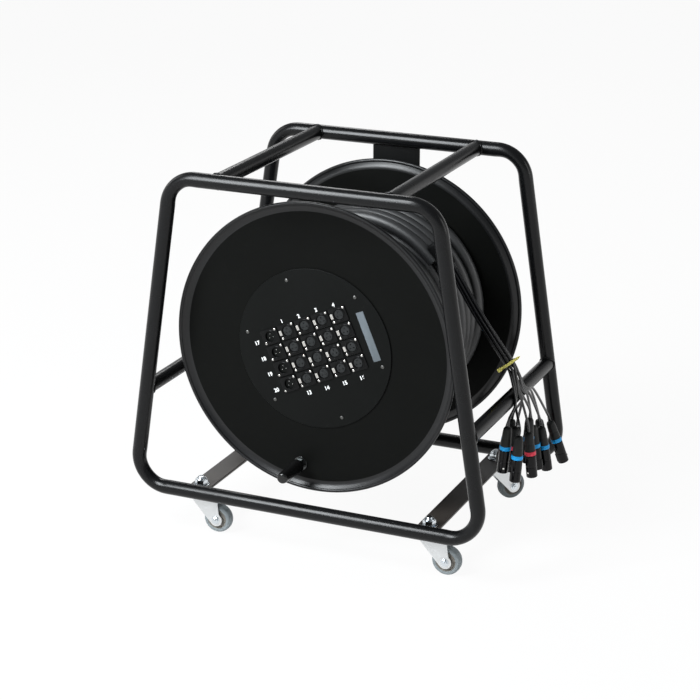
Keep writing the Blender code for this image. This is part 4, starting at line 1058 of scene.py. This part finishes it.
def winding_point(turn):
    """The cable's centre: back along the lower layer, up at the rear flange and forward again."""
    lower = UPPER_LAYER_RADIUS - LAYER_STEP
    if turn <= LOWER_TURNS:
        return cable_point(lower, turn, CABLE_FRONT_Y + (CABLE_REAR_Y - CABLE_FRONT_Y) * turn / LOWER_TURNS)
    if turn <= LOWER_TURNS + CLIMB_TURNS:
        share = (turn - LOWER_TURNS) / CLIMB_TURNS
        return cable_point(lower + LAYER_STEP * share, turn, CABLE_REAR_Y)
    passed = turn - LOWER_TURNS - CLIMB_TURNS
    y = CABLE_REAR_Y
    for index, step in enumerate(UPPER_STEPS):
        y -= step * min(1.0, max(0.0, passed - index))
    return cable_point(UPPER_LAYER_RADIUS, turn, y)


def winding_line():
    """The outer turns in both layers, with a short straight at either end."""
    count = round(TOTAL_TURNS * LAID_STEPS)
    line = [winding_point(TOTAL_TURNS * index / count) for index in range(count + 1)]
    ends = []
    for point, turn, sign in ((line[0], 0, -1), (line[-1], TOTAL_TURNS, 1)):
        angle = CABLE_END_ANGLE + 2 * math.pi * (TOTAL_TURNS - turn)
        tangent = Vector((math.sin(angle), 0.0, -math.cos(angle))) * sign
        ends.append(point + tangent * 2 * CABLE_RADIUS)
    return ends[:1] + line + ends[1:]


def buried_line():
    """The turns underneath, which lie in the gaps of the lower layer."""
    count = round((LOWER_TURNS - 1) * BURIED_STEPS)
    radius = UPPER_LAYER_RADIUS - LAYER_STEP - BURIED_STEP
    pitch = (CABLE_REAR_Y - CABLE_FRONT_Y) / LOWER_TURNS
    turns = [(LOWER_TURNS - 1) * index / count for index in range(count + 1)]
    return [cable_point(radius, turn, CABLE_FRONT_Y + pitch * (turn + 0.5)) for turn in turns]


def cable_tree():
    """Geometry Nodes that lay a round cable along a line."""
    tree, given, result = shape_tree("laid_cable", (
        ("Cable Radius", FLOAT), ("Sides", INTEGER), ("Sheath", MATERIAL)))
    curve = node_of(tree, 'GeometryNodeMeshToCurve')
    section = node_of(tree, 'GeometryNodeCurvePrimitiveCircle')
    sweep = node_of(tree, 'GeometryNodeCurveToMesh', {"Fill Caps": True})
    wired(tree, (given, "Geometry", curve, "Mesh"), (given, "Cable Radius", section, "Radius"),
          (given, "Sides", section, "Resolution"), (curve, "Curve", sweep, "Curve"),
          (section, "Curve", sweep, "Profile Curve"))
    end_tree(tree, sweep, result, given, "Sheath")
    return tree


def laid_cable(line, sides):
    """The cable along a line of points."""
    mesh = bpy.data.meshes.new("line")
    mesh.from_pydata([tuple(point) for point in line], [(i, i + 1) for i in range(len(line) - 1)], [])
    return grown(CABLE, {"Cable Radius": CABLE_RADIUS, "Sides": sides, "Sheath": sheath}, mesh)


CABLE = cable_tree()
sheath = finish("cable_sheath", (0.0135, 0.0145, 0.0155), 0.50, specular=0.90, grain=(500.0, 0.05),
                cloud=0.05, scuffs=(35.0, 0.12), scuff_colour=(0.045, 0.045, 0.045))
piece_of("wound_cable", laid_cable(winding_line(), 28), None, "drum", ["cable_winding"], sharp=60)
piece_of("buried_cable", laid_cable(buried_line(), 20), None, "drum", sharp=60)


# Tails
# The thick cable splits in a moulded sleeve into thin ones, which hang over the right side
# tube, held together by a cable tie. Each ends in its own plug. Three hang behind the others.

TAIL_FOOT_ANGLE = math.radians(38.3)
TRUNK_RADIUS = 0.0095
SLEEVE_Y = 0.033
SLEEVE_BACK = 0.034
SLEEVE_FRONT = 0.014
TAIL_DIAMETER = 0.0043
TIE_REACH = 0.202
SWEPT_RADIUS = math.hypot(UPPER_LAYER_RADIUS + CABLE_RADIUS, 2 * CABLE_RADIUS)
SWEEP_GAP = 0.0003
TRUNK_GAP = 0.0009
AWAY = Vector((math.cos(TAIL_FOOT_ANGLE), 0.0, math.sin(TAIL_FOOT_ANGLE)))
ONWARD = Vector((math.sin(TAIL_FOOT_ANGLE), 0.0, -math.cos(TAIL_FOOT_ANGLE)))
# The bundle's middle: how far along, its depth, and how wide the cords lie round it.
TRUNK_KNOTS = ((0.030, 0.0325, 0.0064), (0.060, 0.026, 0.0066), (0.100, 0.018, 0.0068),
               (0.150, 0.013, 0.0071), (0.202, 0.010, 0.0074))
INNER_SHARE = 0.39
PLUG_LENGTH = 0.080
SHELL_FACE = 0.0089
PLUG_SPIN = 1.3
ROUTE_STEPS = 20
ROUTE_SPACING = 0.005
TUBE_GAP = 0.0010
OVER_ANGLE = math.radians(50)
BUNDLE_WIDE = 1.08
BUNDLE_THICK = 0.92
CORD_SUNK = 0.004
FOOT_SPREAD = 0.0060


def tail_line(reach, y):
    """A point on the straight stretch that leaves the drum, reach past where it is closest."""
    point = AWAY * (SWEPT_RADIUS + TRUNK_GAP + TRUNK_RADIUS) + ONWARD * reach
    return Vector((point.x, y, DRUM_Z + point.z))


def smooth_route(knots, spacing):
    """Evenly spaced points on a smooth curve through a cord's own points."""
    knots = [Vector(knot) for knot in knots]
    ends = [2 * knots[0] - knots[1]] + knots + [2 * knots[-1] - knots[-2]]
    dense = []
    for before, start, end, after in zip(ends, ends[1:], ends[2:], ends[3:]):
        for step in range(ROUTE_STEPS):
            t = step / ROUTE_STEPS
            dense.append(0.5 * (2 * start + (end - before) * t
                                + (2 * before - 5 * start + 4 * end - after) * t * t
                                + (3 * start - before - 3 * end + after) * t ** 3))
    dense.append(knots[-1])
    lengths = [0.0]
    for first, second in zip(dense, dense[1:]):
        lengths.append(lengths[-1] + (second - first).length)
    count = max(3, round(lengths[-1] / spacing))
    points = []
    for index in range(count + 1):
        wanted = lengths[-1] * index / count
        place = next(i for i in range(1, len(lengths)) if lengths[i] >= wanted - 1e-9)
        share = (wanted - lengths[place - 1]) / (lengths[place] - lengths[place - 1])
        points.append(dense[place - 1].lerp(dense[place], share))
    return points


# Each plug: its boot's end, the way it hangs, where its cord crosses the side tube, the cord's place
# in the bundle as an angle and a share of its width, its ring's colour, and its node.
PLUGS = (
    ((0.3100, 0.1510, 0.1690), (0.295, 0.153, -0.943), 0.0385, (0, 1.0), "blue", "plug_1"),
    ((0.3100, 0.1036, 0.1759), (0.145, 0.064, -0.987), 0.0275, (51, 1.0), "blue", "plug_2"),
    ((0.3000, 0.0854, 0.1832), (0.140, 0.050, -0.988), 0.0220, (-51, 1.0), "blue", "plug_3"),
    ((0.3130, 0.0290, 0.1926), (0.090, 0.040, -0.995), 0.0055, (103, 1.0), "red", "plug_4"),
    ((0.3210, -0.0440, 0.2136), (-0.055, -0.023, -0.998), -0.0055, (154, 1.0), "blue", "plug_5"),
    ((0.2920, 0.0260, 0.2003), (-0.140, -0.060, -0.988), 0.0110, (180, INNER_SHARE), "red", "plug_6"),
    ((0.3000, -0.0394, 0.2248), (-0.090, -0.040, -0.995), -0.0115, (206, 1.0), "blue", "plug_7"),
    ((0.2790, 0.0412, 0.2068), (-0.188, -0.125, -0.974), 0.0060, (257, 1.0), "blue", None),
    ((0.2980, 0.1270, 0.1790), (0.150, 0.080, -0.985), 0.0330, (60, INNER_SHARE), "red", None),
    ((0.3066, 0.0500, 0.2098), (-0.023, 0.000, -0.999), 0.0140, (-60, INNER_SHARE), "blue", None),
)


def tail_route(top, down, cross_y, place):
    """One cord's points from inside the sleeve, through the tie and over the side tube to its plug."""
    angle = math.radians(place[0])
    spread = (Vector((0.0, math.cos(angle) * BUNDLE_WIDE, 0.0)) + AWAY * math.sin(angle) * BUNDLE_THICK)
    spread = spread * place[1]
    line = [tail_line(SLEEVE_FRONT - CORD_SUNK, SLEEVE_Y) + spread * FOOT_SPREAD]
    line += [tail_line(reach, y) + spread * width for reach, y, width in TRUNK_KNOTS]
    tube_x = leg_x(SIDE_TUBE_Z)
    clear = TUBE_RADIUS + TAIL_DIAMETER / 2 + TUBE_GAP
    over = Vector((tube_x + clear * math.sin(OVER_ANGLE), cross_y,
                   SIDE_TUBE_Z + clear * math.cos(OVER_ANGLE)))
    beside = Vector((tube_x + clear, cross_y + (top.y - cross_y) * 0.3, SIDE_TUBE_Z - 0.004))
    line.append(line[-1].lerp(over, 0.45) + Vector((0.002, 0.0, 0.002)))
    line += [over, beside, top - down * 0.014, top - down * 0.0005]
    return smooth_route(line, ROUTE_SPACING)


def plug_mesh():
    """An inline connector along Z: boot above, shell with grooves and a key, and pins in its open mouth."""
    shell_profile = [(0.0, 0.014), (0.0078, 0.014), (0.0078, 0.0), (0.0090, 0.0), (0.0095, 0.0008),
                     (0.0095, 0.0180), (0.0092, 0.0184), (0.0092, 0.0196), (0.0095, 0.0200),
                     (0.0095, 0.0385), (0.0088, 0.0392), (0.0088, 0.040), (0.0, 0.040)]
    shell = turned_mesh(shell_profile, 48, 0.0003)
    for turn in (35, 145):
        slot = slab_mesh(0.0030, 0.0165, 0.004, 0.0014, 0.0002)
        place = spun(turn) @ moved(0.0, -SHELL_FACE, 0.0285) @ spun(90, 'X')
        shell = cut_mesh(shell, placed(slot, place))
    key = slab_mesh(0.0042, 0.0150, 0.0014, 0.0010, 0.0004)
    key.transform(moved(0.0, -SHELL_FACE, 0.0105) @ spun(90, 'X'))
    boot_profile = [(0.0, PLUG_LENGTH), (0.0030, PLUG_LENGTH), (0.0056, 0.0790), (0.0071, 0.0763),
                    (0.0078, 0.0700), (0.0082, 0.0610), (0.0080, 0.0604), (0.0080, 0.0594),
                    (0.0083, 0.0588), (0.0088, 0.0500), (0.0090, 0.0465), (0.0, 0.0465)]
    boot = turned_mesh(boot_profile, 40, 0.0006)
    screw = cylinder(0.0016, 0.0012, 0.0, 16, 0.0003)
    screw.transform(spun(95) @ moved(0.0092, 0.0, 0.0095) @ spun(90, 'Y'))
    parts = [coloured(shell, plug_shell), coloured(key, plug_shell), coloured(boot, boot_rubber),
             coloured(screw, nickel)]
    for contact in CONTACTS:
        pin = turned_mesh([(0, 0.002), (0.0012, 0.003), (0.0012, 0.014), (0, 0.014)], 12)
        parts.append(coloured(placed(pin, contact), nickel))
    return joined(parts)


def ring_mesh(material):
    """The coloured ring between a plug's shell and its boot."""
    profile = [(0.0086, 0.0398), (0.0097, 0.0398), (0.0097, 0.0467), (0.0086, 0.0467)]
    return coloured(turned_mesh(profile, 40, 0.0004, ring=True), material)


def pointing(direction):
    """A turn that lays the Z axis along a direction."""
    return direction.to_track_quat('Z', 'Y').to_matrix().to_4x4()


plug_shell = finish("plug_shell", (0.0018, 0.0018, 0.0021), 0.14, specular=0.22, grain=(600.0, 0.02))
boot_rubber = finish("boot_rubber", (0.0115, 0.0125, 0.0120), 0.46, specular=0.24, grain=(700.0, 0.25))
ring_colours = {"blue": finish("ring_blue", (0.008, 0.38, 0.86), 0.40, specular=0.35),
                "red": finish("ring_red", (0.95, 0.045, 0.085), 0.40, specular=0.4)}
tail_sheath = finish("tail_sheath", (0.0030, 0.0032, 0.0042), 0.20, specular=0.70, grain=(900.0, 0.02))
base_plug = plug_mesh()
for number, (top, down, cross_y, place, colour, node) in enumerate(PLUGS):
    top = Vector(top)
    down = Vector(down).normalized()
    whole = joined([base_plug.copy(), ring_mesh(ring_colours[colour])])
    spin = Matrix.Rotation(PLUG_SPIN * number, 4, 'Z')
    whole.transform(Matrix.Translation(top + down * PLUG_LENGTH) @ pointing(-down) @ spin)
    plug = piece_of(f"tail_plug_{number + 1}", whole, None, "frame", [node] if node else ())
    route = tail_route(top, down, cross_y, place)
    cord = piece_of(f"tail_cord_{number + 1}", tube_mesh(route, TAIL_DIAMETER / 2, 14), tail_sheath,
                    "frame", ["tails"], sharp=60)

sleeve_rubber = finish("sleeve_rubber", (0.0060, 0.0062, 0.0064), 0.55, specular=0.10, grain=(700.0, 0.15))
sleeve_back = tail_line(-SLEEVE_BACK, SLEEVE_Y)
sleeve_front = tail_line(SLEEVE_FRONT, SLEEVE_Y)
sleeve_profile = [(0.0, 0.048), (0.0118, 0.048), (0.016, 0.0216), (0.016, 0.004), (0.012, 0.0), (0.0, 0.0)]
sleeve = placed(turned_mesh(sleeve_profile, 48, 0.0018),
                Matrix.Translation(sleeve_back) @ pointing(sleeve_front - sleeve_back))
sweep = placed(cylinder(SWEPT_RADIUS + SWEEP_GAP, 0.1, -0.1, 192), along_y(0, SLEEVE_Y, DRUM_Z))
piece_of("breakout_sleeve", cut_mesh(sleeve, sweep), sleeve_rubber, "frame", ["cable_breakout"])


# Cable tie
# A yellow nylon tie pulled round the bundle, its locking head at the left and its free end
# standing out to the right.

tie_yellow = finish("tie_yellow", (0.88, 0.80, 0.20), 0.36, specular=0.5, grain=(400.0, 0.03), cloud=0.03)
TIE_WIDTH = 0.0044
TIE_THICKNESS = 0.0012
TIE_SPACING = 0.0009
TIP_WIDTH = 0.35
TIP_STEP = 0.12
TIE_LOOP = ((-0.0175, 0.0032), (-0.0120, 0.0078), (-0.0060, 0.0103), (0.0, 0.0111), (0.0060, 0.0097),
            (0.0100, 0.0055), (0.0113, 0.0), (0.0100, -0.0055), (0.0060, -0.0097), (0.0, -0.0111),
            (-0.0060, -0.0103), (-0.0112, -0.0062), (-0.0150, -0.0012))
TIE_TAIL = ((-0.0185, 0.0046), (-0.0120, 0.0095), (-0.0050, 0.0121), (0.0020, 0.0127), (0.0090, 0.0120),
            (0.0145, 0.0112), (0.0200, 0.0108))
tie_middle = tail_line(TIE_REACH, 0.010)
TIE_RIGHT = (Vector((0.0, 0.504, 0.0)) + AWAY * 0.864).normalized()
TIE_FRONT = TIE_RIGHT.cross(ONWARD).normalized()
if TIE_FRONT.y > 0:
    TIE_FRONT = -TIE_FRONT


def strap_mesh(points, closed, taper=False):
    """A flat strap that follows points in the plane across the bundle."""
    line = smooth_route([(u, v, 0.0) for u, v in (points + points[:1] if closed else points)],
                        TIE_SPACING)
    if closed:
        line.pop()
    rings = []
    for index, point in enumerate(line):
        ahead = heading(line, index, closed)
        outward = Vector((-ahead.y, ahead.x, 0.0))
        share = min(1.0, TIP_WIDTH + (len(line) - 1 - index) * TIP_STEP) if taper else 1.0
        width = TIE_WIDTH * share
        ring = []
        for across, along in ((-1, -1), (1, -1), (1, 1), (-1, 1)):
            spot = point + outward * across * TIE_THICKNESS / 2
            ring.append(tie_middle + TIE_RIGHT * spot.x + TIE_FRONT * spot.y + ONWARD * along * width / 2)
        rings.append(ring)
    return skinned(rings, closed, capped=not closed)


head = placed(slab_mesh(0.0078, 0.0062, 0.0052, 0.0010, 0.0005), moved(-0.0002, 0.0, -0.0026))
head_turn = Matrix((TIE_RIGHT, ONWARD, TIE_RIGHT.cross(ONWARD))).transposed().to_4x4()
head.transform(Matrix.Translation(tie_middle - TIE_RIGHT * 0.0195 + TIE_FRONT * 0.0030) @ head_turn)
tie = joined([strap_mesh(TIE_LOOP, True), strap_mesh(TIE_TAIL, False, True), head])
piece_of("cable_tie", tie, tie_yellow, "frame", ["tail_tie"])
